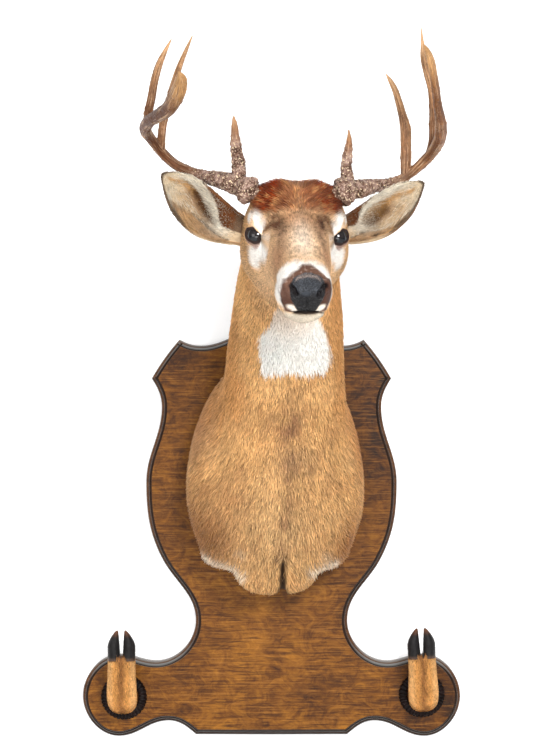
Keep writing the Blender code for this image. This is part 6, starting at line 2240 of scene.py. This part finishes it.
M_WOOD.link(M_WOOD.node("ShaderNodeTexCoord").outputs["Normal"],
            _nz.inputs[0])
_edge = M_WOOD.blend(M_WOOD.range(_nz.outputs["Z"], -0.05, -0.45, 0.0, 0.9),
                     _edge, (0.012, 0.007, 0.004))
_edge = M_WOOD.blend(M_WOOD.range(_nz.outputs["Z"], 0.35, 0.8, 0.0, 0.55),
                     _edge, (0.250, 0.262, 0.255))
M_WOOD.set("Base Color", M_WOOD.blend(_face, _edge, _wood))
M_WOOD.set("Roughness", M_WOOD.math(
    'ADD', M_WOOD.range(_pore, 0.3, 0.7, 0.02, 0.12),
    M_WOOD.range(_face, 0, 1, 0.16, 0.34)))
M_WOOD.set("Normal", M_WOOD.bump(_pore, 0.18, 0.0005))
M_WOOD.b.inputs["Specular IOR Level"].default_value = 0.13


# ---------------------------------------------------------------- assembly --
skin = skin_object(M_SKIN.m)
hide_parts("head", "neck", "trunk")
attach(skin, "root")
for sgn, name in ((-1, "ear_r"), (1, "ear_l")):
    ear = ear_mesh(sgn, M_EAR.m)
    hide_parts(name)
    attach(ear, "root")
    eye_ball(sgn, M_GLASS.m)
for side in ("r", "l"):
    antler(side, M_ANTLER.m)
plaque(M_WOOD.m)
for k, side in enumerate("rl"):
    foot_hair(k, side, M_FOOT.m, M_COAT.m)
    hooves(k, side, M_HORN.m)
    rosette(k, side, M_LEATHER.m)
for sgn in (-1, 1):
    ear_coat(sgn, M_COAT.m)
body_coat(M_COAT.m)


# ----------------------------------------------------------------- setting --
def stage_plane(name, corners, col, glow):
    me = bpy.data.meshes.new(name)
    me.from_pydata(corners, [], [(0, 1, 2, 3)])
    o = bpy.data.objects.new(name, me)
    bpy.context.scene.collection.objects.link(o)
    m = Mat(name, Roughness=0.9)
    m.b.inputs["Specular IOR Level"].default_value = 0.1
    v = m.place()
    n = m.noise(v, 30.0, 3.0)
    m.set("Base Color", m.ramp(n, (0.3, col), (0.7, tuple(
        min(1.0, c * 1.02) for c in col))))
    m.b.inputs["Emission Color"].default_value = (1, 1, 1, 1)
    m.b.inputs["Emission Strength"].default_value = glow
    me.materials.append(m.m)
    return o


stage_plane("wall", ((-4, 0.002, -0.75), (4, 0.002, -0.75), (4, 0.002, 3.2),
                     (-4, 0.002, 3.2)), (0.80, 0.80, 0.80), 0.30)
stage_plane("floor", ((-4, -6, -0.75), (4, -6, -0.75), (4, 0.002, -0.75),
                      (-4, 0.002, -0.75)), (0.80, 0.80, 0.80), 0.04)


def area(name, place, aim, size, power, col=(1, 1, 1)):
    li = bpy.data.lights.new(name, 'AREA')
    li.shape = 'RECTANGLE'
    li.size, li.size_y = size
    li.energy = power
    li.color = col
    o = bpy.data.objects.new(name, li)
    bpy.context.scene.collection.objects.link(o)
    o.location = place
    o.rotation_euler = (Vector(aim) - Vector(place)).to_track_quat(
        '-Z', 'Y').to_euler()


area("key", (0.75, -3.2, 1.15), (0, -0.2, 0.15), (0.7, 0.7), 95)
area("fill", (-1.8, -3.0, 0.6), (0, -0.2, 0.15), (2.0, 2.0), 42)
area("low", (0.1, -3.4, -0.35), (0, -0.2, 0.0), (1.6, 0.6), 22)
area("top", (0.0, -0.9, 2.9), (0, -0.25, 0.3), (2.4, 1.2), 8)


def camera():
    cam = bpy.data.cameras.new("camera")
    cam.lens = 2290.0 / 756.0 * 36.0
    cam.sensor_width = 36.0
    cam.sensor_fit = 'AUTO'
    cam.clip_end = 60.0
    o = bpy.data.objects.new("camera", cam)
    bpy.context.scene.collection.objects.link(o)
    o.location = (0.003, -3.5, 0.241)
    o.rotation_euler = (math.pi / 2, 0, 0)
    bpy.context.scene.camera = o


camera()
w = bpy.data.worlds.new("studio")
w.use_nodes = True
w.node_tree.nodes["Background"].inputs["Color"].default_value = (1, 1, 1, 1)
w.node_tree.nodes["Background"].inputs["Strength"].default_value = 0.42
bpy.context.scene.world = w
bpy.context.scene.view_settings.view_transform = 'Standard'
